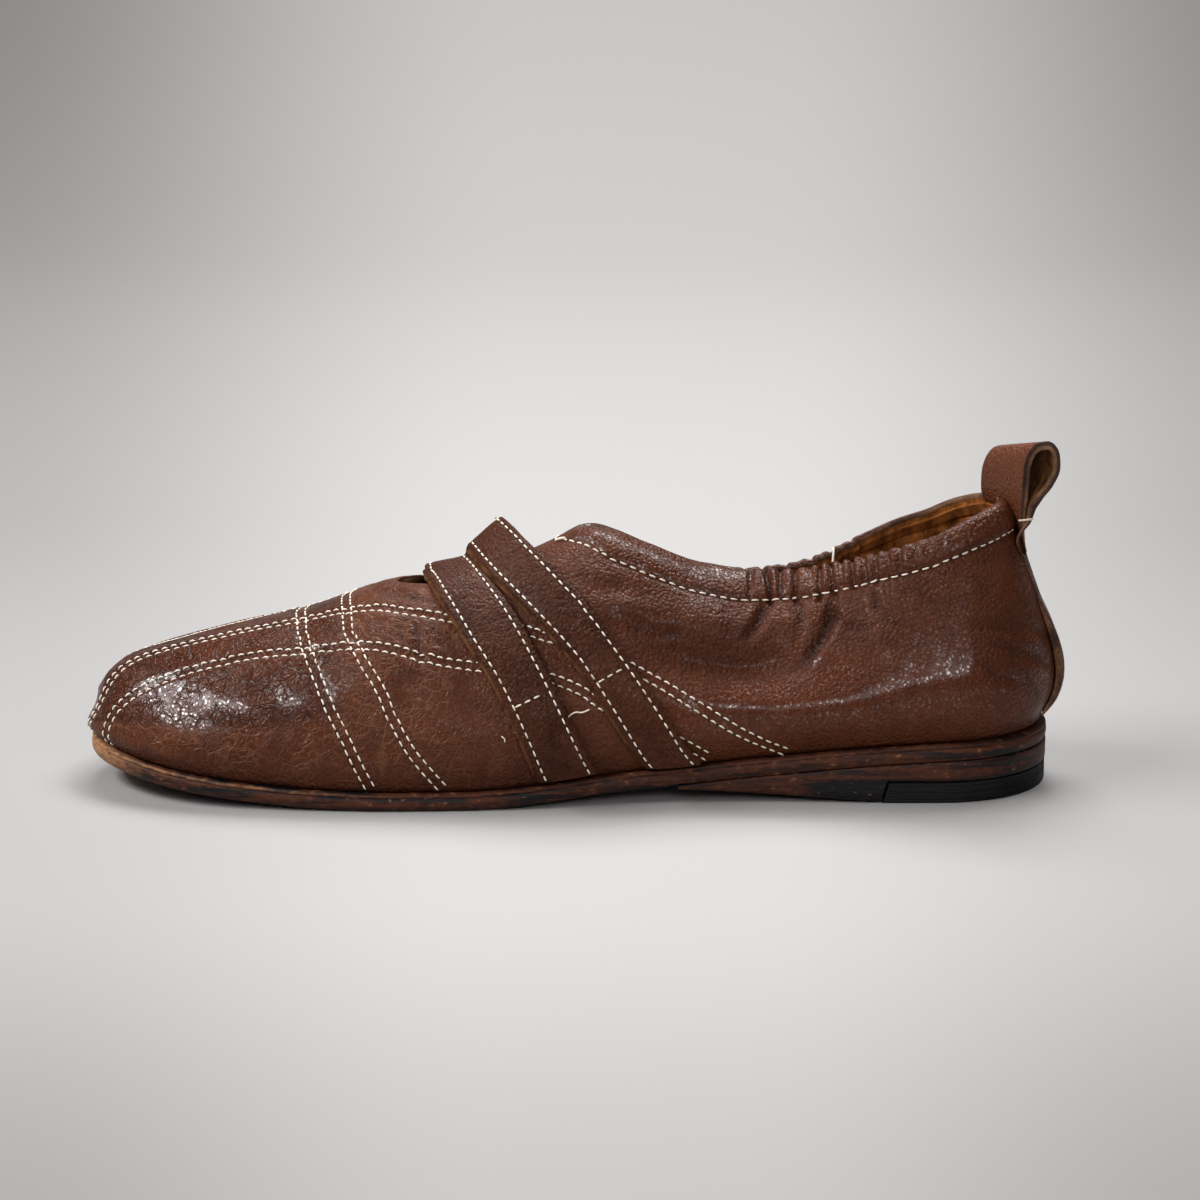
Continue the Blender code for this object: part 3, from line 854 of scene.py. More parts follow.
class Grain:
    """The grain of waxed leather: fine round pebbles, and a crackle where the wax has broken."""

    def __init__(self, crackle_size: float = 3.3, pebble_size: float = 1.0, hair_size: float = 0.4) -> None:
        """Builds the group.

        Args:
            crackle_size: width of the crackle's plates.
            pebble_size: width of the grain's pebbles.
            hair_size: width of the finest roughness.
        """
        graph, given, end = new_group(
            "leather_grain",
            {"Place": VECTOR, "Crackle": VALUE},
            {"Height": VALUE, "Crack": VALUE, "Mottle": VALUE, "Top": VALUE},
        )
        place = given["Place"]
        sway = graph.add("ShaderNodeTexNoise", {"Vector": place, "Scale": 0.2, "Detail": 2.0})
        centred = graph.vector("SUBTRACT", {0: sway.outputs["Color"], 1: (0.5, 0.5, 0.5)})
        warped = self.moved(graph, place, centred, 3.4)
        broken = graph.ramp(graph.noise(place, 0.12), 0.36, 0.56, 0.3, 1.0)
        plates = self.edges(graph, warped, 1 / crackle_size, 0.11)
        lines = self.edges(graph, warped, 1.0 / (crackle_size * 0.48), 0.14)
        both = graph.math("MAXIMUM", plates, graph.times(lines, 0.65))
        crack = graph.times(graph.times(both, broken), given["Crackle"])
        reach = graph.cells(self.moved(graph, place, centred, 1.4), 1 / pebble_size, "F1")
        wrinkles = self.edges(graph, warped, 0.8 / pebble_size, 0.3)
        domes = graph.times_plus(wrinkles, 0.2, graph.times(reach, reach))
        pebbles = graph.times(domes, graph.ramp(given["Crackle"], 0.2, 1.0, 0.9, 0.3))
        hair = graph.times(graph.noise(place, 1 / hair_size, 2.0), 0.06)
        height = graph.math("SUBTRACT", hair, graph.times_plus(crack, 0.6, pebbles))
        mottle, top = graph.noise(place, 0.16, 5.0), graph.ramp(domes, 0.06, 0.3, 1.0, 0.0)
        graph.fill(end, {"Height": height, "Crack": crack, "Mottle": mottle, "Top": top})
        self.tree = graph.tree

    def moved(
        self, graph: Graph, place: Socket, way: Socket, far: float
    ) -> Socket:
        """Adds a place that is moved along a vector."""
        return graph.vector("ADD", {0: place, 1: graph.vector("SCALE", {0: way, "Scale": far})})

    def edges(self, graph: Graph, place: Socket, scale: float, width: float) -> Socket:
        """Draws the lines between cells, whose width is a share of a cell."""
        return graph.ramp(graph.cells(place, scale, "DISTANCE_TO_EDGE"), 0.0, width, 1.0, 0.0)


class Shader(Graph):
    """The graph of one new material."""

    def __init__(self, name: str) -> None:
        """Makes the material.

        Args:
            name: the material's name.
        """
        self.material = bpy.data.materials.new(name)
        self.material.use_nodes = True
        super().__init__(self.material.node_tree)

    def finish(self, inputs: dict) -> Material:
        """Fills the shader's own inputs, and gives the material."""
        self.fill(self.tree.nodes["Principled BSDF"], inputs)
        return self.material


@dataclass(frozen=True)
class Finish:
    """What every finish has."""

    name: str


@dataclass(frozen=True)
class WaxedLeather(Finish):
    """Worn waxed leather: browns that drift, painted shade in its creases and near its foot, and a wax coat
    broken by crackle and grain.
    """

    grain: Grain
    dark: Color = (0.030, 0.0074, 0.0031)
    middle: Color = (0.060, 0.0150, 0.0056)
    light: Color = (0.088, 0.0250, 0.0098)
    worn: Color = (0.102, 0.0245, 0.0078)
    crack: Color = (0.155, 0.058, 0.028)
    depth: float = 0.45
    gloss: float = 0.3
    dullness: float = 0.5
    shine: float = 0.13
    coat_roughness: float = 0.14
    coat_ior: float = 2.4
    relief: float = 0.4

    def build(self) -> Material:
        """Makes the material, which reads the mesh's attributes for crackle, painted crease shade, wear,
        grime with painted shade near the foot, and wax.

        Returns:
            The material.
        """
        graph = Shader(self.name)
        place, wax = graph.millimetres(), graph.attribute("wax")
        inputs = {"Place": place, "Crackle": graph.attribute("crackle")}
        grain = graph.group(self.grain.tree, inputs).outputs
        mottle, crack = grain["Mottle"], grain["Crack"]
        drift = graph.ramp(graph.noise(place, 0.03, 4.0), 0.36, 0.64, 0.0, 1.0)
        color = graph.mix(drift, self.middle, self.light)
        color = graph.mix(graph.ramp(mottle, 0.46, 0.72, 0.0, 0.4), color, self.dark)
        rubbed = graph.ramp(mottle, 0.3, 0.6, 1.0, 0.35)
        color = graph.mix(graph.times(graph.attribute("worn"), rubbed), color, self.worn)
        # deep, the darkest brown, is the colour of the dark crack lines in thick wax and of the painted shade
        deep = tuple(self.depth * part for part in self.dark)
        creviced = graph.mix(graph.ramp(wax, 0.25, 0.6, 0.0, 1.0), self.crack, deep)
        color = graph.mix(graph.times(crack, 0.7), color, creviced)
        # Painted shade: the colour darkens in the creases and pleats, and near the feather line for grime and
        # painted shade
        dim = graph.math("MAXIMUM", graph.attribute("hollow"), graph.attribute("dirt"))
        rough = graph.ramp(mottle, 0.38, 0.62, self.gloss, self.dullness)
        split = graph.math("MINIMUM", graph.times(crack, 1.4), 1.0)
        whole = graph.math("SUBTRACT", 1.0, split)
        patchy = graph.ramp(graph.noise(place, 0.35, 3.0), 0.36, 0.62, 0.35, 1.0)
        tops = graph.times_plus(grain["Top"], 0.9, 0.1)
        inputs = {
            "Base Color": graph.mix(graph.times(dim, 0.7), color, deep),
            "Roughness": graph.times(rough, graph.ramp(wax, 0.0, 1.0, 1.0, 0.6)),
            "Coat Weight": graph.times(graph.times(wax, patchy), graph.times(whole, tops)),
            "Coat Roughness": self.coat_roughness,
            "Coat IOR": self.coat_ior,
            "Specular IOR Level": self.shine,
            "Normal": graph.bump(grain["Height"], self.relief),
        }
        return graph.finish(inputs)


@dataclass(frozen=True)
class Suede(Finish):
    """Napped suede or the flesh side of leather: brushed patches and short fibres, with no gloss."""

    dark: Color = (0.055, 0.022, 0.008)
    light: Color = (0.245, 0.118, 0.045)
    nap: float = 0.5

    def build(self) -> Material:
        """Makes the material.

        Returns:
            The material.
        """
        graph = Shader(self.name)
        place = graph.millimetres()
        brushed = graph.noise(graph.stretched(place, (0.5, 0.5, 0.22)), 0.6, 5.0)
        tone = graph.weighted(brushed, 0.7, graph.noise(place, 2.2, 4.0), 0.3)
        inputs = {
            "Base Color": graph.mix(graph.ramp(tone, 0.36, 0.64, 0.0, 1.0), self.dark, self.light),
            "Roughness": 0.95,
            "Specular IOR Level": 0.05,
            "Normal": graph.bump(tone, self.nap),
        }
        return graph.finish(inputs)


@dataclass(frozen=True)
class CutEdge(Finish):
    """The raw edge of cut leather: tan fibre, dressed dark in places."""

    dressed: Color = (0.05, 0.02, 0.012)
    fibre: Color = (0.26, 0.125, 0.058)
    relief: float = 0.25

    def build(self) -> Material:
        """Makes the material.

        Returns:
            The material.
        """
        graph = Shader(self.name)
        place = graph.millimetres()
        fibres = graph.noise(place, 2.8, 4.0)
        tone = graph.weighted(graph.noise(place, 0.14, 4.0), 0.65, fibres, 0.35)
        inputs = {
            "Base Color": graph.mix(graph.ramp(tone, 0.4, 0.62, 0.0, 1.0), self.dressed, self.fibre),
            "Roughness": 0.8,
            "Normal": graph.bump(fibres, self.relief),
        }
        return graph.finish(inputs)


@dataclass(frozen=True)
class SoleLeather(Finish):
    """The stained edge of sole leather: streaks, scuffs, ink at the heel, a bare tan toe tip, and a light
    line on the bead that is partly bare leather and partly a painted highlight.
    """

    ink: Color = (0.007, 0.006, 0.0075)
    stain: Color = (0.028, 0.0088, 0.0056)
    rust: Color = (0.082, 0.0245, 0.0105)
    bare: Color = (0.34, 0.165, 0.075)
    tip_end: float = -112.0
    toe: float = -131.0
    bead_end: float = -30.0
    heel_start: float = 50.0
    heel_end: float = 80.0
    relief: float = 0.5

    def build(self) -> Material:
        """Makes the material, which reads the mesh's attribute rise.

        Returns:
            The material.
        """
        graph = Shader(self.name)
        place = graph.millimetres()
        streaks = graph.noise(graph.stretched(place, (0.055, 0.055, 0.75)), 1.0, 6.0)
        scuffs = graph.noise(graph.stretched(place, (0.5, 0.5, 1.1)), 0.8, 5.0)
        tone = graph.weighted(streaks, 0.55, scuffs, 0.45)
        color = graph.mix(graph.ramp(tone, 0.42, 0.6, 0.0, 1.0), self.stain, self.rust)
        inked = graph.weighted(streaks, 0.75, graph.noise(place, 0.03, 3.0), 0.3)
        color = graph.mix(graph.ramp(inked, 0.42, 0.53, 1.0, 0.0), color, self.ink)
        axes = graph.add("ShaderNodeSeparateXYZ", {0: place}).outputs
        along, rise = axes["X"], graph.attribute("rise")
        heel = graph.ramp(along, self.heel_start, self.heel_end, 0.0, 0.5)
        low = graph.ramp(axes["Z"], 4.5, 8.0, 1.0, 0.0)
        blacked = graph.ramp(graph.times_plus(heel, low, tone), 0.62, 0.78, 0.0, 1.0)
        color = graph.mix(blacked, color, self.ink)
        # The light line along the bead near the toe: worn bare leather, and a painted highlight on the bead's
        # rounded lip
        bead = graph.times(graph.ramp(rise, 0.8, 0.86, 0.0, 1.0), graph.ramp(rise, 0.96, 1.0, 1.0, 0.0))
        bead = graph.times(bead, graph.ramp(along, self.tip_end, self.bead_end, 0.6, 0.0))
        color = graph.mix(graph.times(bead, graph.ramp(scuffs, 0.4, 0.6, 0.2, 1.0)), color, self.bare)
        tip = graph.ramp(along, self.toe, self.tip_end, 1.0, 0.0)
        tip = graph.times(tip, graph.ramp(scuffs, 0.3, 0.55, 0.3, 1.0))
        bare = graph.math("MAXIMUM", tip, graph.ramp(scuffs, 0.6, 0.72, 0.0, 0.55))
        inputs = {
            "Base Color": graph.mix(bare, color, self.bare),
            "Roughness": graph.ramp(tone, 0.35, 0.65, 0.38, 0.7),
            "Specular IOR Level": 0.2,
            "Normal": graph.bump(tone, self.relief),
        }
        return graph.finish(inputs)


@dataclass(frozen=True)
class Rubber(Finish):
    """Black heel rubber with fine lines round its side, and brown dust rubbed into them."""

    black: Color = (0.005, 0.005, 0.006)
    dusty: Color = (0.026, 0.021, 0.019)
    relief: float = 0.35

    def build(self) -> Material:
        """Makes the material.

        Returns:
            The material.
        """
        graph = Shader(self.name)
        place = graph.millimetres()
        lines = graph.noise(graph.stretched(place, (0.03, 0.03, 2.6)), 1.0, 4.0)
        dust = graph.noise(place, 0.25, 5.0)
        rubbed = graph.times(graph.ramp(lines, 0.5, 0.68, 0.0, 1.0), graph.ramp(dust, 0.4, 0.65, 0.1, 0.9))
        inputs = {
            "Base Color": graph.mix(rubbed, self.black, self.dusty),
            "Roughness": graph.ramp(dust, 0.3, 0.7, 0.42, 0.62),
            "Specular IOR Level": 0.25,
            "Normal": graph.bump(lines, self.relief),
        }
        return graph.finish(inputs)


@dataclass(frozen=True)
class Thread(Finish):
    """Waxed linen thread, cream with grime on it."""

    cream: Color = (0.93, 0.85, 0.72)
    grime: Color = (0.58, 0.45, 0.33)
    relief: float = 0.15

    def build(self) -> Material:
        """Makes the material.

        Returns:
            The material.
        """
        graph = Shader(self.name)
        place = graph.millimetres()
        soiled = graph.ramp(graph.noise(place, 0.12, 4.0), 0.5, 0.7, 0.0, 0.8)
        inputs = {
            "Base Color": graph.mix(soiled, self.cream, self.grime),
            "Roughness": 0.7,
            "Normal": graph.bump(graph.noise(place, 3.5, 3.0), self.relief),
        }
        return graph.finish(inputs)


@dataclass(frozen=True)
class PinholeShade(Finish):
    """Painted shade in a needle's hole: the dark that the hole's depth would hold."""

    deep: Color = (0.008, 0.004, 0.003)
    edge: Color = (0.02, 0.009, 0.006)

    def build(self) -> Material:
        """Makes the material.

        Returns:
            The material.
        """
        graph = Shader(self.name)
        tone = graph.noise(graph.millimetres(), 1.5, 2.0)
        return graph.finish({"Base Color": graph.mix(tone, self.deep, self.edge), "Roughness": 0.9})


@dataclass(frozen=True)
class StudioFloor(Finish):
    """The pale sheet that the shoe stands on, with painted shade where the light falls off towards its sides
    and ends.
    """

    # pale is the colour where the light is full, and dim the painted shade where it falls off
    pale: Color = (0.42, 0.409, 0.403)
    dim: Color = (0.17, 0.166, 0.163)
    front: float = 0.78
    nearest: float = 0.48
    shift: float = 0.02
    far_tone: float = 0.55
    mottle: float = 0.06

    def build(self) -> Material:
        """Makes the material, with painted shade: dimmer towards the sheet's sides and ends, as the light
        falls off.

        Returns:
            The material.
        """
        graph = Shader(self.name)
        place = graph.add("ShaderNodeTexCoord").outputs["Object"]
        axes = graph.add("ShaderNodeSeparateXYZ", {0: place}).outputs
        far = axes["Y"]
        depth = graph.math("MAXIMUM", graph.math("ADD", far, self.front), self.nearest)
        aside = graph.math("SUBTRACT", graph.math("DIVIDE", axes["X"], depth), self.shift)
        sides = graph.ramp(graph.math("ABSOLUTE", aside), 0.04, 0.23, 0.0, 1.0)
        behind = graph.ramp(far, 0.0, 0.4, 0.36, 0.63)
        behind = graph.math("ADD", behind, graph.ramp(far, 0.9, 2.3, 0.0, 0.2))
        shade_of = graph.times_plus(sides, behind, graph.ramp(far, -0.32, -0.1, 0.45, 0.0))
        plain = graph.math("SUBTRACT", self.far_tone, shade_of)
        shade_of = graph.times_plus(plain, graph.ramp(far, -0.75, -0.3, 1.0, 0.0), shade_of)
        tone = graph.add("ShaderNodeTexNoise", {"Vector": place, "Scale": 1.2, "Detail": 2.0}).outputs["Fac"]
        shade_of = graph.times_plus(tone, self.mottle, shade_of)
        return graph.finish({"Base Color": graph.mix(shade_of, self.pale, self.dim), "Roughness": 0.55})


# The upper


class Bend(Enum):
    """Which way a stroke moves the leather."""

    TROUGH = -1
    RIDGE = 1


@dataclass(frozen=True)
class Stroke:
    """A soft trough or ridge, drawn on one side of the upper through points of girth and share."""

    path: Path
    width: float
    depth: float
    bend: Bend = Bend.TROUGH

    # How far the stroke reaches in widths, its raised lip, and how its ends run out
    REACH = 3.2
    LIP = 0.32
    LIP_PLACE = 1.9
    TAPER = 0.25
    LEAST = 0.2

    def field(self, last: Last, side: Side, points: Array, shift: float = 0.0) -> Array:
        """Works out how far the stroke moves each point of the upper.

        Args:
            last: the form.
            side: the side that it is drawn on.
            points: the upper's points, in metres.
            shift: how far along the side the stroke is moved.

        Returns:
            Distances outwards in millimetres.
        """
        line = along_path(self.path, 0.8)
        places = to_scene(np.array([last.point(side, girth + shift, share) for girth, share in line])) / MM
        field_of = np.zeros(len(points))
        reach = self.REACH * self.width
        near = points / MM
        low, high = places.min(0) - reach, places.max(0) + reach
        inside = np.flatnonzero(((near > low) & (near < high)).all(1))
        if not len(inside):
            return field_of
        gaps = np.linalg.norm(near[inside, None, :] - places[None, :, :], axis=2)
        way = gaps.argmin(1) / (len(places) - 1)
        distance = gaps.min(1) / self.width
        taper = smooth(way / self.TAPER) * smooth((1 - way) / self.TAPER)
        taper = self.LEAST + (1 - self.LEAST) * taper
        profile = bell(distance, 1.0) - self.LIP * bell(distance - self.LIP_PLACE, 1.0)
        field_of[inside] = self.bend.value * self.depth * profile * taper
        return field_of


# Pleats that the collar's elastic draws up: girth, how deep each is, and how far it runs on under the casing
PLEATS = Table(
    ("girth", "depth", "run"),
    [
        (180, 0.55, 1.0), (184, 1.15, 6.0), (188, 0.55, 1.0), (192, 0.95, 5.0), (196, 0.60, 1.0),
        (198.7, 1.05, 7.0), (201.6, 0.95, 6.0), (204.4, 0.60, 2.0), (207.2, 0.95, 3.0),
        (210.2, 0.75, 2.0), (213.2, 0.70, 4.0), (216.0, 0.45, 0.5), (219.4, 0.50, 0.5),
        (223.0, 0.30, 1.0), (226.2, 0.12, 0.5), (231.0, 0.24, 0.5), (233.6, 0.10, 0.5),
        (239.5, 0.26, 0.5), (242.4, 0.12, 0.5), (247.6, 0.20, 0.5), (250.2, 0.24, 0.5),
        (256.0, 0.14, 0.5), (259.2, 0.26, 0.5),
    ],
)

# Creases and swells of the worn leather, as girth and share
CREASES = [
    Stroke([(184, 0.80), (181, 0.66), (177, 0.58)], 1.5, 1.1),
    Stroke([(192, 0.79), (193, 0.72), (193, 0.64)], 1.1, 0.8),
    Stroke([(200, 0.82), (200.5, 0.70), (198, 0.58), (192, 0.44)], 1.7, 1.3),
    Stroke([(200, 0.74), (200, 0.62)], 3.0, 0.9),
    Stroke([(212, 0.80), (213, 0.68)], 1.0, 0.6),
    Stroke([(202, 0.70), (204, 0.63), (211, 0.60)], 1.0, 0.6),
    Stroke([(213, 0.71), (216, 0.63), (221, 0.59)], 1.0, 0.45),
    Stroke([(222, 0.78), (226, 0.70), (233, 0.66)], 1.1, 0.3),
    Stroke([(148, 0.50), (159, 0.48), (173, 0.44), (187, 0.48), (197, 0.55)], 6.0, 2.2),
    Stroke([(165, 0.50), (176, 0.47), (186, 0.49)], 2.2, 0.5),
    Stroke(
        [(152, 0.41), (164, 0.37), (177, 0.30), (190, 0.24), (207, 0.27), (224, 0.31), (244, 0.28)],
        5.0,
        0.7,
        Bend.RIDGE,
    ),
    Stroke([(160, 0.63), (174, 0.67)], 6.5, 0.9, Bend.RIDGE),
    Stroke([(187, 0.62), (189, 0.72)], 3.2, 0.7, Bend.RIDGE),
    Stroke([(206, 0.52), (224, 0.48)], 6.5, 0.5, Bend.RIDGE),
    Stroke([(131, 0.70), (140, 0.70), (148, 0.72)], 2.2, 0.45),
    Stroke([(140, 0.64), (149, 0.65), (156, 0.68)], 2.2, 0.45, Bend.RIDGE),
    Stroke([(144, 0.60), (153, 0.57), (163, 0.59)], 1.6, 0.4),
    Stroke([(90, 0.69), (91, 0.58), (93, 0.48)], 1.3, 0.8),
    Stroke([(94.5, 0.67), (97, 0.58), (98, 0.52)], 1.2, 0.7),
    Stroke([(86.5, 0.67), (87.5, 0.56)], 1.2, 0.45),
    Stroke([(73, 0.71), (74, 0.62)], 1.5, 0.45),
    Stroke([(79, 0.70), (80, 0.61)], 1.4, 0.35),
    Stroke([(99, 0.62), (101, 0.52)], 1.2, 0.5),
    Stroke([(88, 0.48), (88.5, 0.37), (87, 0.25)], 5.0, 0.8),
    Stroke([(102, 0.45), (104, 0.34), (108, 0.22)], 3.5, 0.5),
    Stroke([(83, 0.90), (87, 0.82), (93, 0.77)], 1.5, 0.7),
    Stroke([(78, 0.95), (82, 0.86), (86, 0.76)], 1.6, 0.4),
    Stroke([(236, 0.55), (246, 0.49), (257, 0.42)], 1.2, 0.4),
    Stroke([(239, 0.46), (250, 0.40), (264, 0.31)], 1.3, 0.55),
    Stroke([(244, 0.39), (254, 0.34), (267, 0.26)], 1.2, 0.45),
    Stroke([(247, 0.53), (258, 0.46), (269, 0.37)], 1.1, 0.35),
    Stroke([(238, 0.33), (248, 0.27), (258, 0.20)], 1.6, 0.3),
    Stroke([(24, 0.42), (33, 0.30), (46, 0.26)], 4.0, 0.4),
    Stroke([(52, 0.47), (55, 0.33), (60, 0.22)], 3.5, 0.35),
    Stroke([(122, 0.30), (128, 0.22), (136, 0.16)], 2.5, 0.35),
]


@dataclass(frozen=True)
class Seam:
    """A doubled row of stitches over the upper, drawn through points of girth and share."""

    path: Path
    crosses_ridge: bool = False
    arch: float = 0.0


# The upper and the lower row along each side, then the front and the rear row across the ridge
SEAMS = [
    Seam(
        [
            (2.2, 0.04), (4, 0.39), (6, 0.66), (11, 0.82), (24, 0.89), (37, 0.89), (51, 0.87),
            (60, 0.86), (74, 0.80), (90, 0.71), (101, 0.66), (119, 0.57), (127, 0.51), (150, 0.39),
            (164, 0.275), (177, 0.14), (189, 0.005),
        ],
        arch=0.32,
    ),
    Seam(
        [
            (7.6, 0.01), (8.2, 0.12), (10, 0.34), (17, 0.51), (32, 0.61), (48, 0.635), (61, 0.62),
            (74, 0.59), (82, 0.56), (93, 0.505), (108, 0.455), (125, 0.38), (140, 0.26), (160, 0.12),
            (169.5, 0.005),
        ],
        arch=0.32,
    ),
    Seam([(79, 0.01), (73, 0.20), (68, 0.35), (63, 0.55), (60, 0.71), (57.5, 1.0)], crosses_ridge=True),
    Seam([(98, 0.01), (88, 0.20), (82, 0.38), (76, 0.54), (72, 0.71), (70, 1.0)], crosses_ridge=True),
]


@dataclass(frozen=True)
class Wear:
    """Where the skin is worn and waxed, as soft steps over girth, share or height, and how strongly."""

    crackle_end: Step = (88.0, 34.0)
    crackle_rise: float = 7.0
    least_crackle: float = 0.22
    # How deep a crease must be for its full painted shade
    crease_shade_depth: float = 1.3
    quarter_start: Step = (132.0, 40.0)
    quarter_top: Step = (0.25, 0.35)
    quarter_worn: float = 0.75
    least_worn: float = 0.15
    # Grime and painted shade towards the feather line: its strength, and the height over which it fades
    dirt: float = 0.9
    grime_and_shade_rise: float = 2.2
    toe_end: Step = (50.0, 36.0)
    toe_foot: Step = (0.18, 0.2)
    casing_start: Step = (125.0, 12.0)
    casing_end: Step = (0.85, 0.3)
    casing_dull: Step = (195.0, 25.0)
    casing_wax: float = 0.27
    bulge_start: Step = (150.0, 25.0)
    bulge_middle: Step = (0.3, 0.14)
    bulge_wax: float = 0.75
    shoulder_middle: Step = (145.0, 22.0)
    shoulder_foot: Step = (0.55, 0.15)
    shoulder_wax: float = 0.28
    least_wax: float = 0.06
    wax_rise: float = 6.0

    def note(self, sheet: Piece, creases: Array) -> None:
        """Notes where the skin is crackled, worn or waxed, and where its colour gets painted shade: in
        creases, and with grime near the feather line, for its finish.

        Args:
            sheet: the skin.
            creases: how far its creases move it.
        """
        names = ("girth", "share", "height", "below")
        girth, share, height, below = (read_attribute(sheet, name) for name in names)
        fore = (1 - soft_step(girth, self.crackle_end)) * smooth(height / self.crackle_rise)
        write_attribute(sheet, "crackle", self.least_crackle + (1 - self.least_crackle) * fore)
        # Painted shade in the creases and pleats
        write_attribute(sheet, "hollow", np.clip(-creases / self.crease_shade_depth, 0, 1))
        quarter = soft_step(girth, self.quarter_start) * (1 - soft_step(share, self.quarter_top))
        write_attribute(sheet, "worn", self.quarter_worn * quarter + self.least_worn)
        # Darker towards the feather line: grime and painted shade
        write_attribute(sheet, "dirt", self.dirt * np.exp(-height / self.grime_and_shade_rise))
        toe = (1 - soft_step(girth, self.toe_end)) * soft_step(share, self.toe_foot)
        cased = soft_step(girth, self.casing_start) * (1 - soft_step(below, self.casing_end))
        cased *= 1 - soft_step(girth, self.casing_dull) / 2
        bulge = soft_step(girth, self.bulge_start) * self.hump(share, self.bulge_middle)
        shoulder = self.hump(girth, self.shoulder_middle) * soft_step(share, self.shoulder_foot)
        spots = [toe, self.casing_wax * cased, self.bulge_wax * bulge, self.shoulder_wax * shoulder]
        waxed = self.least_wax + (1 - self.least_wax) * np.maximum.reduce(spots)
        write_attribute(sheet, "wax", waxed * smooth(height / self.wax_rise))

    def hump(self, values: Array, middle: Step) -> Array:
        """Gives a soft hump round a middle, which is a place and a width."""
        return bell(values - middle[0], middle[1])


@dataclass
class Upper:
    """The soft upper: its creased skin, casing, lining and seams."""

    last: Last
    grain: Grain
    wall: float = 1.8
    casing_wall: float = 3.2
    casing_step: float = 0.8
    casing_puff: float = 0.55
    casing_start: Step = (126.0, 14.0)
    casing_fade: float = 1.4
    casing_ease: float = 8.0
    groove: float = 0.5
    groove_place: float = 0.2
    groove_width: float = 0.8
    rim_round: float = 2.4
    rim_turn: float = 1.5
    rim_thinning: float = 0.62
    throat_round: float = 0.9
    throat_turn: float = 0.6
    rows: int = 66
    crowding: float = 0.5
    toe_steps: int = 68
    throat_steps: int = 46
    bridge_steps: int = 16
    rim_steps: int = 14
    collar_steps: int = 40
    gather: tuple[float, float] = (176.0, 221.0)
    gather_steps: int = 104
    back_steps: int = 14
    fan_steps: int = 60
    toe_calm: float = 10.0
    medial_share: float = 0.85
    medial_shift: float = -2.5
    medial_pleats: float = 0.45
    medial_fade: Step = (202.0, 14.0)
    pleat_depth: float = 1.35
    pleat_lean: float = 0.9
    pleat_shift: float = 1.6
    pleat_width: float = 0.5
    pleat_spread: float = 0.25
    pleat_fade: float = 2.0
    pleat_lip: float = 0.4
    lip_place: float = 1.6
    lip_width: float = 0.9
    seam_width: float = 1.25
    seam_depth: float = 0.5
    swells: Swells = ((0.22, 16.0, 3.0), (0.10, 6.0, 11.0))
    swell_rise: float = 6.0
    pleat_shade: float = 0.8
    swell_shade: float = 0.15
    inside: Place = (140.0, 0.0, 25.0)
    sharp_width: float = 2.0
    bridge_ease: float = 6.0
    ease_rounds: int = 60
    skin: BVHTree | None = field(default=None, init=False)

    def girths(self) -> Array:
        """Gives the places of the columns along one side.

        Returns:
            Their girths.
        """
        last = self.last
        throat_front, throat_back, rim_end = THROAT.at[0], THROAT.at[-1], last.opening_front + 7
        stretches = [
            eased(last.ledge, throat_front, self.toe_steps, True, False)[:-1],
            eased(throat_front, throat_back, self.throat_steps, True, True)[:-1],
            eased(throat_back, last.opening_front, self.bridge_steps, False, False)[:-1],
            eased(last.opening_front, rim_end, self.rim_steps, True, False)[:-1],
            eased(rim_end, self.gather[0], self.collar_steps, False, False)[:-1],
            eased(*self.gather, self.gather_steps, False, False)[:-1],
            eased(self.gather[1], last.fan_start, self.back_steps, False, False)[:-1],
            eased(last.fan_start, last.back, self.fan_steps, False, False),
        ]
        return np.concatenate(stretches)

    def row_shares(self) -> Array:
        """Gives the places of the rows up a column, which are closer together near its top."""
        even, crowded = np.linspace(0, 1, self.rows), eased(0, 1, self.rows - 1, False, True)
        return (1 - self.crowding) * even + self.crowding * crowded

    def below_rim(self, one: Column, share: Array) -> Array:
        """Measures how far points of a column lie below the collar's rim, in widths of the casing."""
        ahead = max(self.last.opening_front - one.girth, 0.0)
        return np.hypot((1 - share) * one.length, ahead) / one.casing

    def half(self, side: Side) -> Piece:
        """Lays one side of the upper over the last, and notes what each point's place is.

        Args:
            side: the side of the shoe.

        Returns:
            The side's sheet.
        """
        points, notes = [], []
        for girth in self.girths():
            one = Column(self.last, side, float(girth))
            in_throat = THROAT.at[0] < girth < THROAT.at[-1]
            cut = float(THROAT(side.name.lower(), girth)) if in_throat else 0.0
            share = self.row_shares() * (1 - cut / one.length)
            points.append(one.at(share))
            height = share * one.length
            below = self.below_rim(one, share)
            to_throat = height[-1] - height if cut else np.full(self.rows, 99.0)
            where = np.full(self.rows, girth)
            casing = np.full(self.rows, one.casing)
            notes.append(np.stack([where, share, height, below, to_throat, casing], axis=-1))
        sheet = shaped_grid(f"upper_{side.name.lower()}", self.eased_bridge(np.array(points)))
        names = ("girth", "share", "height", "below", "to_throat", "casing")
        for name, values in zip(names, np.moveaxis(np.array(notes), -1, 0)):
            write_attribute(sheet, name, values)
        write_attribute(sheet, "side", np.full(len(sheet.data.vertices), side.value))
        return sheet

    def eased_bridge(self, points: Array) -> Array:
        """Smooths the sheet along the side where the ridge parts into the two rims.

        Args:
            points: the sheet's points.

        Returns:
            The smoothed points.
        """
        window = bell(self.girths() - self.last.opening_front, self.bridge_ease)[1:-1, None, None]
        for _ in range(self.ease_rounds):
            between = (points[:-2] + points[2:]) / 2
            points[1:-1] += 0.5 * window * (between - points[1:-1])
        return points

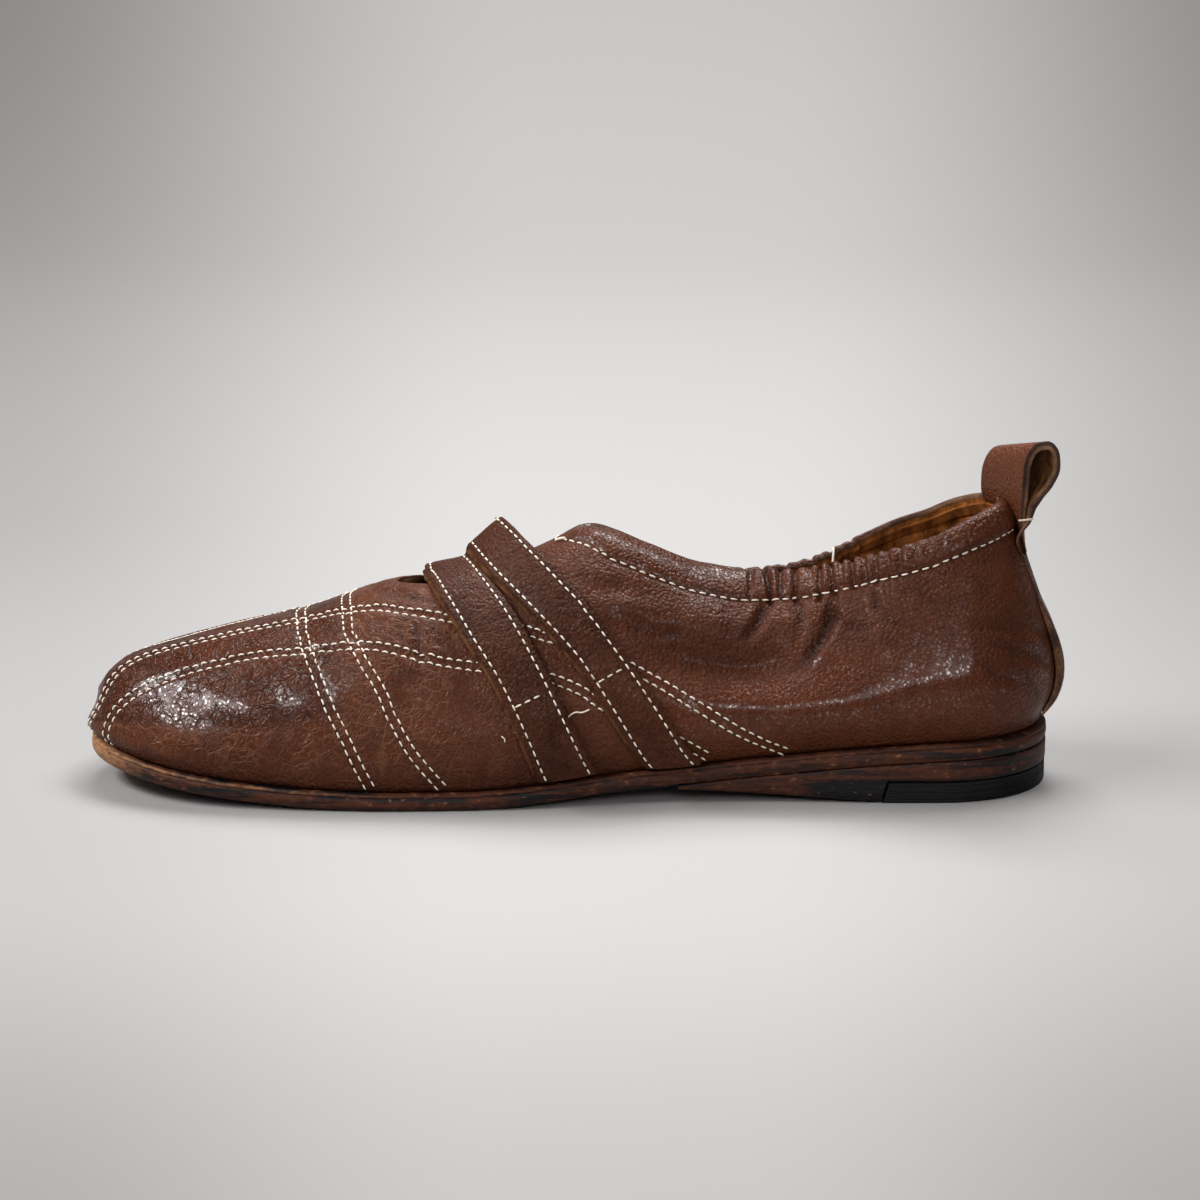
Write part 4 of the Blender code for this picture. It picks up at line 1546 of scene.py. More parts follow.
    def casing_field(self, sheet: Piece) -> Array:
        """Works out how the casing stands out of the skin, and how the rim and the throat's edge turn in.

        Args:
            sheet: the skin.

        Returns:
            Distances outwards in millimetres.
        """
        share_below, casing = read_attribute(sheet, "below"), read_attribute(sheet, "casing")
        below = share_below * casing
        ahead = soft_step(read_attribute(sheet, "girth"), self.casing_start)
        cased = smooth(0.5 + (casing - below) / self.casing_fade)
        puff = np.sin(np.pi * np.clip(share_below, 0, 1))
        field_of = ahead * cased * (self.casing_step + self.casing_puff * puff)
        field_of -= self.groove * ahead * bell(below - casing - self.groove_place, self.groove_width)
        field_of -= self.rim_turn * turned(below, self.rim_round)
        return field_of - self.throat_turn * turned(read_attribute(sheet, "to_throat"), self.throat_round)

    def pleat_field(self, sheet: Piece) -> Array:
        """Works out the pleats of the gathered collar on both sides.

        Args:
            sheet: the skin.

        Returns:
            Distances outwards in millimetres.
        """
        girth, below = read_attribute(sheet, "girth"), read_attribute(sheet, "below")
        casing, side = read_attribute(sheet, "casing"), read_attribute(sheet, "side")
        field_of = np.zeros(len(girth))
        for place, depth, run in zip(PLEATS.at, PLEATS.columns["depth"], PLEATS.columns["run"]):
            lean = self.pleat_lean * np.sin(place) * np.clip(below, 0, 2)
            width = self.pleat_width + self.pleat_spread * np.clip(below, 0, 1)
            reach = smooth((casing + run - below * casing) / (self.pleat_fade + run))
            medial = self.medial_pleats * (1 - soft_step(place, self.medial_fade))
            for which, share, shift in (
                (Side.LATERAL, 1.0, 0.0),
                (Side.MEDIAL, medial, self.pleat_shift * np.cos(place)),
            ):
                gap = girth - place - shift - lean
                lip = self.pleat_lip * bell(np.abs(gap) - self.lip_place, self.lip_width)
                pressed = share * self.pleat_depth * depth * (bell(gap, width) - lip) * reach
                field_of -= np.where(side == which.value, pressed, 0.0)
        return field_of

    def crease_field(self, points: Array, side: Array, strokes: list[Stroke]) -> Array:
        """Works out creases and swells on both sides.

        Args:
            points: the upper's points, in metres.
            side: the sign of each point's side.
            strokes: the creases and swells.

        Returns:
            Distances outwards in millimetres.
        """
        field_of = np.zeros(len(points))
        for stroke in strokes:
            lateral = stroke.field(self.last, Side.LATERAL, points)
            medial = stroke.field(self.last, Side.MEDIAL, points, self.medial_shift)
            field_of += np.where(side < 0, lateral, self.medial_share * medial)
        return field_of

    def seam_field(self, points: Array, side: Array) -> Array:
        """Works out the valley that each doubled row of stitches pulls into the leather.

        Args:
            points: the upper's points, in metres.
            side: the sign of each point's side.

        Returns:
            Distances outwards in millimetres.
        """
        field_of = np.zeros(len(points))
        for seam in SEAMS:
            valley = Stroke(seam.path, self.seam_width, self.seam_depth)
            lateral = valley.field(self.last, Side.LATERAL, points)
            medial = valley.field(self.last, Side.MEDIAL, points)
            field_of += np.where(side < 0, lateral, medial)
        return field_of

    def build(self) -> Piece:
        """Makes the upper: skin, wall, lining and cut edges.

        Returns:
            The finished piece.
        """
        sheet = joined("upper_skin", [self.half(side) for side in Side])
        merge_doubles(sheet)
        with editing(sheet):
            bpy.ops.mesh.normals_make_consistent(inside=False)
        face_away(sheet, np.array(self.inside))
        points, normals = read_points(sheet)
        side = read_attribute(sheet, "side")
        creases = self.crease_field(points, side, CREASES)
        narrow = [stroke for stroke in CREASES if stroke.width < self.sharp_width]
        sharp = self.crease_field(points, side, narrow)
        pleats = self.pleat_field(sheet)
        sway = swelled(points, self.swells)
        moved = self.casing_field(sheet) + pleats + creases + self.seam_field(points, side)
        moved += sway * smooth(read_attribute(sheet, "height") / self.swell_rise)
        calm = smooth((read_attribute(sheet, "girth") - self.last.ledge) / self.toe_calm)
        moved = np.where(moved > 0, moved * calm, moved)
        write_points(sheet, points + normals * (moved * MM)[:, None])
        # The painted crease shade follows the sharp creases, the pleats and the swells
        Wear().note(sheet, sharp + self.pleat_shade * pleats + self.swell_shade * creases)
        self.skin = skin_tree(sheet)
        dress(sheet, *self.finishes())
        thicken(sheet, self.wall_field(sheet))
        sheet.data.shade_smooth()
        return sheet

    def finishes(self) -> list[Material]:
        """Makes the finishes of the skin, the lining and the cut edges.

        Returns:
            The materials, in that order.
        """
        lining = Suede("suede_lining", (0.115, 0.038, 0.0098), (0.40, 0.138, 0.034))
        skin, edge = WaxedLeather("waxed_leather", self.grain), CutEdge("upper_cut_edge")
        return [finish.build() for finish in (skin, lining, edge)]

    def wall_field(self, sheet: Piece) -> Array:
        """Works out the wall's thickness at each point, thinner towards the turned edges.

        Args:
            sheet: the skin.

        Returns:
            The thickness in millimetres.
        """
        below = read_attribute(sheet, "below") * read_attribute(sheet, "casing")
        cased = smooth(0.5 + (read_attribute(sheet, "casing") - below) / self.casing_ease)
        thickness = self.wall + cased * (self.casing_wall - self.wall)
        return thickness * (1 - self.rim_thinning * turned(below, self.rim_round))


# Stitches


@dataclass(frozen=True)
class StitchRow:
    """A row of stitches over a skin."""

    line: Array
    aside: float = 0.0
    pitch: float = 2.65
    length: float = 2.3
    width: float = 0.48
    arch: float = 0.0


@dataclass
class Stitching:
    """Stitches, and dark discs of painted shade for their needle holes, copied along rows that lie on a skin.
    """

    name: str
    skin: BVHTree
    rows: list[StitchRow]
    bow: float = 0.08
    dip: float = 0.42
    hole: Place = (0.34, 0.27, 0.05)

    def on_skin(self, points: Array) -> tuple[Array, Array]:
        """Drops points onto the skin, and gives them with the skin's normals there.

        Args:
            points: the points, in metres.

        Returns:
            The places on the skin, and its normals there.
        """
        places, normals = [], []
        for point in points:
            place, normal, _, _ = self.skin.find_nearest(Vector(point))
            places.append(place)
            normals.append(normal)
        return np.array(places), np.array(normals)

    def spaced(self, row: StitchRow, pitch: float) -> tuple[Array, Array, Array]:
        """Spaces places evenly along a row.

        Args:
            row: the row.
            pitch: distance from one place to the next, in millimetres.

        Returns:
            The places, the directions along the row and the skin's normals.
        """
        places, normals = self.on_skin(row.line)
        tangents = unit(np.gradient(places, axis=0))
        places = places + np.cross(normals, tangents) * row.aside * MM
        legs = np.linalg.norm(np.diff(places, axis=0), axis=1)
        way = np.concatenate([[0], np.cumsum(legs)])
        where = np.arange(pitch / 2, way[-1] / MM - pitch / 2, pitch) * MM
        even = np.stack([np.interp(where, way, axis) for axis in places.T], axis=-1)
        along = np.stack([np.interp(where, way, axis) for axis in tangents.T], axis=-1)
        even, normals = self.on_skin(even)
        return even, unit(along - normals * (along * normals).sum(1, keepdims=True)), normals

    def model(self, segments: int, rings: int) -> tuple[Array, list[tuple[int, ...]]]:
        """Models one small round body, and gives its points and faces.

        Args:
            segments: how many sides it has.
            rings: how many rings.

        Returns:
            Points from -1 to 1, and faces.
        """
        bpy.ops.object.select_all(action="DESELECT")
        bpy.ops.mesh.primitive_uv_sphere_add(segments=segments, ring_count=rings, radius=1.0)
        body = bpy.context.object
        with editing(body):
            bpy.ops.transform.rotate(value=math.pi / 2, orient_axis="Y", center_override=(0, 0, 0))
        points, _ = read_points(body)
        faces = [tuple(face.vertices) for face in body.data.polygons]
        bpy.data.objects.remove(body)
        return points, faces

    def copied(self, name: str, bodies: list[Array], faces: list[tuple[int, ...]]) -> Piece:
        """Joins copies of one body into a piece.

        Args:
            name: the piece's name.
            bodies: the points of each copy, in metres.
            faces: the faces of one copy.

        Returns:
            The piece.
        """
        size = len(bodies[0])
        starts = range(0, size * len(bodies), size)
        every = [tuple(start + index for index in face) for start in starts for face in faces]
        mesh = bpy.data.meshes.new(name)
        mesh.from_pydata(np.concatenate(bodies).tolist(), [], every)
        mesh.shade_smooth()
        piece = placed(name, mesh)
        with editing(piece):
            bpy.ops.mesh.normals_make_consistent(inside=False)
        return piece

    def laid(self, row: StitchRow, shape: Callable[[StitchRow, Array], list], form: Array) -> list:
        """Lays copies of a body along a row.

        Args:
            row: the row.
            shape: works out a copy's points in millimetres along the row, across it and off the skin.
            form: the body's own points.

        Returns:
            The points of each copy, in metres.
        """
        bodies = []
        for place, along, normal in zip(*self.spaced(row, row.pitch)):
            ways = (along, np.cross(normal, along), normal)
            local = sum(np.outer(far, way) for far, way in zip(shape(row, form), ways))
            bodies.append(place + local * MM)
        return bodies

    def thread_shape(self, row: StitchRow, form: Array) -> list:
        """Shapes a stitch, which dips into its holes at both ends.

        Args:
            row: the stitch's row.
            form: the body's own points.

        Returns:
            The points' millimetres along the row, across it and off the skin.
        """
        run, side, rise = form.T
        aside, up = row.arch * (1 - run**2), self.bow - self.dip * run**2
        return [run * row.length / 2, side * row.width / 2 + aside, rise * row.width / 2 + up]

    def hole_shape(self, row: StitchRow, form: Array) -> list:
        """Shapes the painted shade of a needle hole, a flat dimple between two stitches."""
        run, side, rise = (form * self.hole).T
        return [run + row.pitch / 2, side, rise]

    def build_threads(self) -> Piece:
        """Makes the stitches.

        Returns:
            The piece.
        """
        form, faces = self.model(8, 7)
        bodies = [body for row in self.rows for body in self.laid(row, self.thread_shape, form)]
        return self.copied(self.name, bodies, faces)

    def build_holes(self) -> Piece:
        """Makes dark discs of painted shade for the needle holes.

        Returns:
            The piece.
        """
        form, faces = self.model(6, 4)
        bodies = [body for row in self.rows for body in self.laid(row, self.hole_shape, form)]
        return self.copied(f"{self.name}_holes", bodies, faces)


# The distance between a seam's two rows, and how the collar's row is drawn: where it starts before the
# middle of the heel, where it leaves the rim, how finely, and how far ahead and how deep it rounds the front
ROW_GAP = 2.5
COLLAR_BACK, COLLAR_FRONT, COLLAR_STEPS = 9.0, 4.0, 130
COLLAR_TURN = [(2.0, 9.0), (5.0, 5.5), (7.0, 2.5)]
COLLAR_TIP = 7.8


def upper_rows(upper: Upper) -> list[StitchRow]:
    """Lays out the rows of stitches on the upper.

    Args:
        upper: the upper, whose last they are drawn on.

    Returns:
        The rows.
    """
    rows = []
    for seam in SEAMS:
        line = along_path(seam.path, 0.8)
        for side in Side:
            places = np.array([upper.last.point(side, girth, share) for girth, share in line])
            if seam.crosses_ridge and side is Side.MEDIAL:
                places = places[::-1]
            arch = seam.arch * (-side.value)
            for aside in (-ROW_GAP / 2, ROW_GAP / 2):
                rows.append(StitchRow(to_scene(places), aside, arch=arch))
    return rows + [StitchRow(collar_line(upper), length=2.5, pitch=2.85, width=0.52)]


def collar_line(upper: Upper) -> Array:
    """Draws the row along the casing's lower edge, from the heel round the front of the opening and back.

    Args:
        upper: the upper.

    Returns:
        The row's points, in metres.
    """
    last, front = upper.last, upper.last.opening_front
    places = []
    girths = np.linspace(last.back - COLLAR_BACK, front + COLLAR_FRONT, COLLAR_STEPS)
    for side in Side:
        columns = [Column(last, side, float(girth)) for girth in girths]
        half = [one.at(1 - (one.casing + 0.2) / one.length) for one in columns]
        bridge = [(Column(last, side, front - ahead), drop) for ahead, drop in COLLAR_TURN]
        half += [one.at(1 - drop / one.length) for one, drop in bridge]
        places.append(np.array(half))
    lateral, medial = places
    line = np.concatenate([lateral, last.point(Side.LATERAL, front - COLLAR_TIP, 1.0)[None], medial[::-1]])
    return to_scene(line)


# Frayed ends by the straps: their points of girth and share, how far they stand off, and their radius
FRAYED = [
    ([(130.5, 0.235), (132.2, 0.25), (134, 0.237), (136, 0.25)], 0.7, 0.2),
    ([(127.6, 0.222), (128.4, 0.205), (128, 0.19), (129, 0.175)], 0.6, 0.22),
    ([(140.2, 0.27), (141.2, 0.255), (140.6, 0.262), (141.4, 0.272)], 1.0, 0.42),
    ([(115.2, 0.27), (116.4, 0.26), (116.8, 0.25)], 0.8, 0.3),
    ([(116.6, 0.21), (117.6, 0.2), (118.2, 0.19)], 0.7, 0.24),
    ([(113.2, 0.2), (114.4, 0.19), (114, 0.18)], 0.5, 0.16),
    ([(127.5, 0.955), (128.8, 0.945), (130.2, 0.93)], 0.6, 0.36),
]
TACK = np.array([(0.0, -2.6, -2.6), (0.2, -1.9, -0.4), (0.3, -0.6, 0.9), (0.4, 1.0, 0.5), (0.5, 2.2, -1.4)])


@dataclass
class LooseThreads:
    """Frayed thread ends, a knot, the tack over the rim and the wrap of the loop's foot, each a thin tube."""

    upper: Upper
    loop: "PullLoop"
    tack_girth: float = 203.0
    radius: float = 0.3
    wrap_steps: tuple[float, float] = (1.75, 12.15)
    wrap_lifts: tuple[float, float] = (0.8, 0.9)
    wrap_past: float = 0.3
    fray_arc: tuple[float, float] = (0.5, 2.6)

    def frayed(self, path: Path, rise: float) -> Array:
        """Lays one frayed end over the skin.

        Args:
            path: its points of girth and share.
            rise: how far its middle stands off.

        Returns:
            Its points, in the shoe's measure.
        """
        last = self.upper.last
        places = np.array([last.point(Side.LATERAL, girth, share) for girth, share in path])
        on_skin = [self.upper.skin.find_nearest(Vector(place)) for place in to_scene(places)]
        lifts = rise * np.sin(np.linspace(*self.fray_arc, len(path)))
        lifted = [np.array(hit[0] + hit[1] * lift * MM) for hit, lift in zip(on_skin, lifts)]
        return np.array(lifted) / MM + ORIGIN

    def lines(self) -> list[tuple[Array, float]]:
        """Lays out the threads.

        Returns:
            Each thread's points, in the shoe's measure, and its radius.
        """
        threads = [(self.frayed(path, rise), radius) for path, rise, radius in FRAYED]
        rim = Column(self.upper.last, Side.MEDIAL, self.tack_girth)
        half, past = self.loop.width / 2, self.wrap_past
        (first, then), (low, high) = self.wrap_steps, self.wrap_lifts
        start = self.loop.line(first, np.array([-half + 0.4, -half - past]), low)
        wrap = self.loop.line(then, np.linspace(-half - past, half + past, 20), high)
        return threads + [(rim.at(1.0) + TACK, self.radius), (np.concatenate([start, wrap]), self.radius)]

    def build(self) -> Piece:
        """Makes the tubes.

        Returns:
            All of them as one piece.
        """
        curve = bpy.data.curves.new("loose_threads", "CURVE")
        curve.dimensions, curve.bevel_depth, curve.bevel_resolution, curve.use_fill_caps = "3D", MM, 2, True
        for line, radius in self.lines():
            spline = curve.splines.new("NURBS")
            spline.points.add(len(line) - 1)
            for point, place in zip(spline.points, to_scene(line)):
                point.co, point.radius = (*place, 1.0), radius
            spline.use_endpoint_u, spline.order_u, spline.resolution_u = True, 3, 3
        select_only(placed("loose_threads", curve))
        bpy.ops.object.convert(target="MESH")
        piece = bpy.context.object
        piece.data.shade_smooth()
        return piece


# Straps


@dataclass
class Strap:
    """A two-layer strap over the last: waxed leather above, with a raw leather backing under it."""

    name: str
    node: str
    last: Last
    table: Table
    cross_stitch: tuple[float, float]
    top_layer: float = 1.3
    backing: float = 1.0
    full: float = 2.4
    crown: float = 0.35
    parting: float = 0.06
    backing_edges: tuple[float, float] = (-0.055, 0.98)
    edge_round: float = 0.9
    edge_drop: float = 0.45
    groove_width: float = 0.6
    stitch_inset: float = 1.7
    width: float = 14.0
    far_lead: float = 8.0
    lead_ramp: float = 0.25
    far_drop: float = 0.7
    drop_ramp: float = 0.14
    swells: Swells = ((0.08, 7.0, 5.0),)
    inside: Place = (120.0, 2.0, 20.0)
    cross_points: int = 12
    steps: int = 130
    places: int = 22
    skin: BVHTree | None = field(default=None, init=False)

    def across(self) -> Array:
        """Gives the stations over the foot, from the lateral feather line (-1) to the medial one (1)."""
        reach = 1 - self.table.at[0]
        return np.linspace(-reach, reach, self.steps)

    def place(self, across: float, share: float) -> tuple[Array, float]:
        """Finds the strap's place on the last.

        Args:
            across: the station over the foot.
            share: how far the place is from the front edge to the rear edge.

        Returns:
            The point of the last under it, and how far the strap stands off there.
        """
        up = 1 - abs(across)
        front, rear, lift_front, lift_rear = (float(self.table(name, up)) for name in STRAP_COLUMNS[1:])
        s = (1 - share) * front + share * rear
        lift = (1 - share) * lift_front + share * lift_rear
        if across > 0:
            lead = self.far_lead * quarter_wave(across / self.lead_ramp)
            s -= lead * (1 - 0.5 * float(smooth(2 * across - 1)))
            lift *= 1 - self.far_drop * quarter_wave(across / self.drop_ramp)
        return self.on_last(s, across), self.last.gap + lift

    def on_last(self, s: float, across: float) -> Array:
        """Gives the last's own point at a station over the foot."""
        return self.last.point(Side.LATERAL if across < 0 else Side.MEDIAL, s, 1 - abs(across))

    def normal(self, point: Array, across: float) -> Array:
        """Finds the way straight out of the last.

        Args:
            point: a point of the last.
            across: its station over the foot.

        Returns:
            The direction.
        """
        s = float(point[0])
        along = self.on_last(s + 0.5, across) - self.on_last(s - 0.5, across)
        over = self.on_last(s, min(across + 0.01, 1)) - self.on_last(s, max(across - 0.01, -1))
        return unit(np.cross(along, over))

    def layer(self, name: str, height: float, edges: tuple[float, float], crown: float) -> Piece:
        """Makes one layer of the strap.

        Args:
            name: the layer's name.
            height: how high its outer face stands over the strap's underside.
            edges: its front and rear edges, as shares of the strap's width.
            crown: how far its middle stands proud.

        Returns:
            The layer's sheet.
        """
        points = []
        for across in self.across():
            line = []
            for share in np.linspace(*edges, self.places):
                point, lift = self.place(across, share)
                to_edge = min(share - edges[0], edges[1] - share) * self.width
                rise = height - self.edge_drop * float(turned(to_edge, self.edge_round))
                groove = float(bell(to_edge - self.stitch_inset, self.groove_width))
                rise += crown * (math.sin(math.pi * share) - groove / 2)
                line.append(point + self.normal(point, across) * (lift + rise))
            points.append(line)
        sheet = shaped_grid(name, np.array(points))
        face_away(sheet, np.array(self.inside))
        places, normals = read_points(sheet)
        write_points(sheet, places + normals * (swelled(places, self.swells) * MM)[:, None])
        if self.skin is None:
            self.skin = skin_tree(sheet)
        plain_wear(sheet, crackle=0.3, wax=0.04)
        return sheet

    def build(self, finishes: dict[str, Material]) -> list[Piece]:
        """Makes the strap's two layers.

        Args:
            finishes: the strap's leather, its backing and its cut edge.

        Returns:
            The two layers.
        """
        top = self.layer(f"{self.name}_top", self.full, (0.0, 1.0), self.crown)
        under_height = self.full - self.top_layer - self.parting
        under = self.layer(f"{self.name}_backing", under_height, self.backing_edges, 0.0)
        dress(top, finishes["leather"], finishes["backing"], finishes["edge"])
        dress(under, finishes["backing"], finishes["backing"], finishes["edge"])
        for layer, thickness in ((top, self.top_layer), (under, self.backing)):
            thicken(layer, np.full(len(layer.data.vertices), thickness))
            shade(layer)
        return [top, under]

    def rows(self) -> list[StitchRow]:
        """Lays out the strap's rows of stitches: one along each edge, and one across on each side.

        Returns:
            The rows.
        """
        rows = []
        stations = self.across()
        inset = self.stitch_inset / self.width
        for share in (inset, 1 - inset):
            rows.append(StitchRow(to_scene(np.array([self.outer(across, share) for across in stations]))))
        front, rear = self.cross_stitch
        for sign in (-1, 1):
            ups = np.linspace(front, rear, self.cross_points)
            shares = np.linspace(inset, 1 - inset, self.cross_points)
            line = [self.outer(sign * (1 - up), share) for up, share in zip(ups, shares)]
            rows.append(StitchRow(to_scene(np.array(line))))
        return rows

    def outer(self, across: float, share: float) -> Array:
        """Gives a point of the strap's outer face."""
        point, lift = self.place(across, share)
        return point + self.normal(point, across) * (lift + self.full)


# Heel pieces


@dataclass
class HeelBack:
    """The back of the heel, as a surface of how far across and what share of the way up."""

    last: Last
    spread: float = 55.0
    count: int = 24
    columns: list[Column] = field(default_factory=list, init=False)

    def __post_init__(self) -> None:
        """Traces the columns round the back."""
        reach = self.last.fan_radius * math.radians(self.spread)
        girths = np.linspace(self.last.back - reach, self.last.back, self.count)
        self.columns = [Column(self.last, Side.LATERAL, float(girth)) for girth in girths]
        self.columns += [Column(self.last, Side.MEDIAL, float(girth)) for girth in girths[-2::-1]]

    def at(self, y: Array, share: float) -> Array:
        """Gives points at distances across from the middle of the heel.

        Args:
            y: the distances.
            share: how far up the heel.

        Returns:
            The points.
        """
        line = np.array([one.at(share) for one in self.columns])
        middle = line[len(line) // 2, 1]
        return np.stack([np.interp(y, line[:, 1] - middle, axis) for axis in line.T], axis=-1)

    def share_at(self, height: float) -> float:
        """Gives the share of the way up at which the middle of the heel has a height.

        Args:
            height: the height.

        Returns:
            The share.
        """
        shares = np.linspace(0.4, 1.0, 61)
        heights = [float(self.columns[len(self.columns) // 2].at(share)[2]) for share in shares]
        return float(np.interp(height, heights, shares))

    def off(self, y: Array, share: float, lift: Values) -> Array:
        """Gives points that stand off the heel.

        Args:
            y: distances across from its middle.
            share: how far up the heel.
            lift: how far off.

        Returns:
            The points.
        """
        across = self.at(y + 0.5, share) - self.at(y - 0.5, share)
        upward = self.at(y, share + 0.01) - self.at(y, share - 0.01)
        lifts = np.broadcast_to(lift, y.shape)[:, None]
        return self.at(y, share) + unit(np.cross(across, upward)) * lifts


# How far the back strip's outer face stands off the heel: it is pared thin towards both ends
STRIP = Table(
    ("share", "lift"),
    [(0.03, 0.7), (0.12, 1.7), (0.28, 2.3), (0.45, 1.4), (0.56, 0.5), (0.68, 0.3), (0.82, 0.3)],
)


@dataclass
class BackStrip:
    """The flat strip down the back of the heel."""

    heel: HeelBack
    width: float = 17.0
    inside: Place = (200.0, 0.0, 40.0)
    close: float = 0.12
    edge_lift: float = 0.5
    edge_round: float = 0.9
    edge_drop: float = 0.3
    shares: tuple[float, float] = (0.03, 0.82)
    steps: int = 46
    places: int = 20

    def build(self, finishes: dict[str, Material]) -> Piece:
        """Makes the strip.

        Args:
            finishes: the strip's leather, its backing and its cut edge.

        Returns:
            The piece.
        """
        half = self.width / 2
        y = np.linspace(-half, half, self.places)
        bow = self.edge_lift * (y / half) ** 2 - self.edge_drop * turned(half - np.abs(y), self.edge_round)
        shares = np.linspace(*self.shares, self.steps)
        lifts = STRIP("lift", shares)
        points = [self.heel.off(y, share, lift * (1 + bow / 2)) for share, lift in zip(shares, lifts)]
        strip = shaped_grid("back_strip_leather", np.array(points))
        face_away(strip, np.array(self.inside))
        # The strip is a little darker all over: grime and painted shade
        plain_wear(strip, crackle=0.3, wax=0.12, dirt=0.15)
        dress(strip, finishes["leather"], finishes["backing"], finishes["edge"])
        thicken(strip, np.repeat(lifts - self.close, self.places))
        shade(strip)
        return strip


@dataclass
class PullLoop:
    """The pull loop over the heel: two plies of a folded strap, dressed leather outside and raw inside."""

    heel: HeelBack
    width: float = 20.0
    ply: float = 1.1
    slip: float = 0.05
    pared: float = 0.12
    paring: float = 3.2
    tail_start: float = 12.3
    tail_reach: float = 1.2
    tail_gap: float = 0.4
    soft_edge: float = 0.3
    steps: int = 96
    places: int = 26

    def middle(self, step: float) -> Array:
        """Gives the loop's middle line."""
        shift = float(RIDGE("shift", self.heel.last.rim_back))
        return np.array([float(LOOP("s", step)), shift, float(LOOP("height", step))])

    def share(self, step: float) -> float:
        """Gives how thick the loop is at a step, as a share: its ends are pared thin."""
        to_end = min(step, float(LOOP.at[-1]) - step)
        return self.pared + (1 - self.pared) * float(smooth(to_end / self.paring))

    def line(self, step: float, y: Array, out: float) -> Array:
        """Gives one line across the loop.

        Args:
            step: place along the loop.
            y: places over its width.
            out: how far outside the loop's middle the line lies.

        Returns:
            The points.
        """
        turn, tip = (math.radians(float(LOOP(name, step))) for name in ("turn", "tip"))
        level = np.array([-math.sin(turn), math.cos(turn), 0.0])
        across = level * math.cos(tip) - np.array([0.0, 0.0, math.sin(tip)])
        along = self.middle(step + 0.05) - self.middle(step - 0.05)
        flat = self.middle(step) + np.outer(y, across) + unit(np.cross(along, across)) * out
        sewn = float(smooth((step - self.tail_start) / self.tail_reach))
        if sewn == 0:
            return flat
        lift = self.tail_gap + self.ply * self.share(step) + out
        on_heel = self.heel.off(y, self.heel.share_at(float(LOOP("height", step))), lift)
        return (1 - sewn) * flat + sewn * on_heel

    def build_ply(self, name: str, out: float, finishes: list[Material]) -> Piece:
        """Makes one ply.

        Args:
            name: the ply's name.
            out: how far outside the loop's middle its outer face lies.
            finishes: its finishes outside, inside and on its edges.

        Returns:
            The piece.
        """
        y = np.linspace(-self.width / 2, self.width / 2, self.places)
        steps = np.linspace(0, LOOP.at[-1], self.steps)
        shares = np.array([self.share(step) for step in steps])
        lines = [self.line(step, y, out * share) for step, share in zip(steps, shares)]
        ply = shaped_grid(name, np.array(lines))
        face_away(ply, self.middle(LOOP.at[-1] / 2) + np.array([0.0, 0.0, -5.0]))
        plain_wear(ply, crackle=0.25, wax=0.15, worn=0.6)
        dress(ply, *finishes)
        thicken(ply, np.repeat(self.ply * shares, self.places))
        bevel = ply.modifiers.new("soft_edge", "BEVEL")
        bevel.width, bevel.segments, bevel.angle_limit = self.soft_edge * MM, 2, math.radians(60)
        apply_modifiers(ply)
        shade(ply)
        return ply

    def build(self, finishes: dict[str, Material]) -> list[Piece]:
        """Makes the loop's two plies.

        Args:
            finishes: the loop's leather, its backing and its cut and dressed edges.

        Returns:
            The outer ply and the inner one.
        """
        leather, backing = finishes["loop"], finishes["backing"]
        outer = self.build_ply("pull_loop_leather", self.ply, [leather, backing, finishes["dressed"]])
        inner = self.build_ply("pull_loop_lining", -self.slip, [backing, finishes["raw"], finishes["edge"]])
        return [outer, inner]


# The sole


@dataclass
class SoleLayer:
    """One layer of the sole: its edge is a list of rings from the foot up, each with an inset and a share."""

    name: str
    last: Last
    rings: list[tuple[float, float]]
    stations: Array
    foot: Callable[[Array], Array]
    top: Callable[[Array], Array]
    rough: float = 0.0
    fronts: list[float] = field(default_factory=list)
    cross_steps: int = 8
    lumps: Swells = ((1.0, 9.0, 2.0), (0.7, 2.5, 7.0))

    def edge(self, side: Side) -> list[Array]:
        """Gives the points of each ring on one side, from the foot up.

        Args:
            side: the side of the shoe.

        Returns:
            The points of each ring.
        """
        lines = []
        fronts = self.fronts or [0.0] * len(self.rings)
        for (inset, share), front in zip(self.rings, fronts):
            s = np.clip(self.stations, max(front, inset), self.last.sole_length - inset)
            height = (1 - share) * self.foot(s) + share * self.top(s)
            lines.append(np.column_stack([s, side.value * self.last.half_width(side, s, inset), height]))
        return lines

    def build(self, finish: Material) -> Piece:
        """Makes the layer as one closed body.

        Args:
            finish: the layer's material.

        Returns:
            The piece.
        """
        lateral, medial = self.edge(Side.LATERAL), self.edge(Side.MEDIAL)
        shares = np.linspace(0, 1, self.cross_steps + 2)[1:-1]
        over = [(1 - share) * lateral[-1] + share * medial[-1] for share in shares]
        under = [(1 - share) * medial[0] + share * lateral[0] for share in shares]
        loop = lateral + over + medial[::-1] + under + lateral[:1]
        layer = shaped_grid(self.name, np.stack(loop, axis=1))
        merge_doubles(layer)
        with editing(layer):
            bpy.ops.mesh.dissolve_degenerate(threshold=0.002 * MM)
            bpy.ops.mesh.select_all(action="SELECT")
            bpy.ops.mesh.fill_holes(sides=0)
            bpy.ops.mesh.select_all(action="SELECT")
            bpy.ops.mesh.normals_make_consistent(inside=False)
        points, normals = read_points(layer)
        s, height = points[:, 0] / MM + ORIGIN[0], points[:, 2] / MM
        write_attribute(layer, "rise", (height - self.foot(s)) / (self.top(s) - self.foot(s) + 0.01))
        if self.rough:
            lumps = self.rough * swelled(points, self.lumps)
            write_points(layer, points + normals * (lumps * MM)[:, None])
        dress(layer, finish)
        shade(layer, 55.0)
        return layer


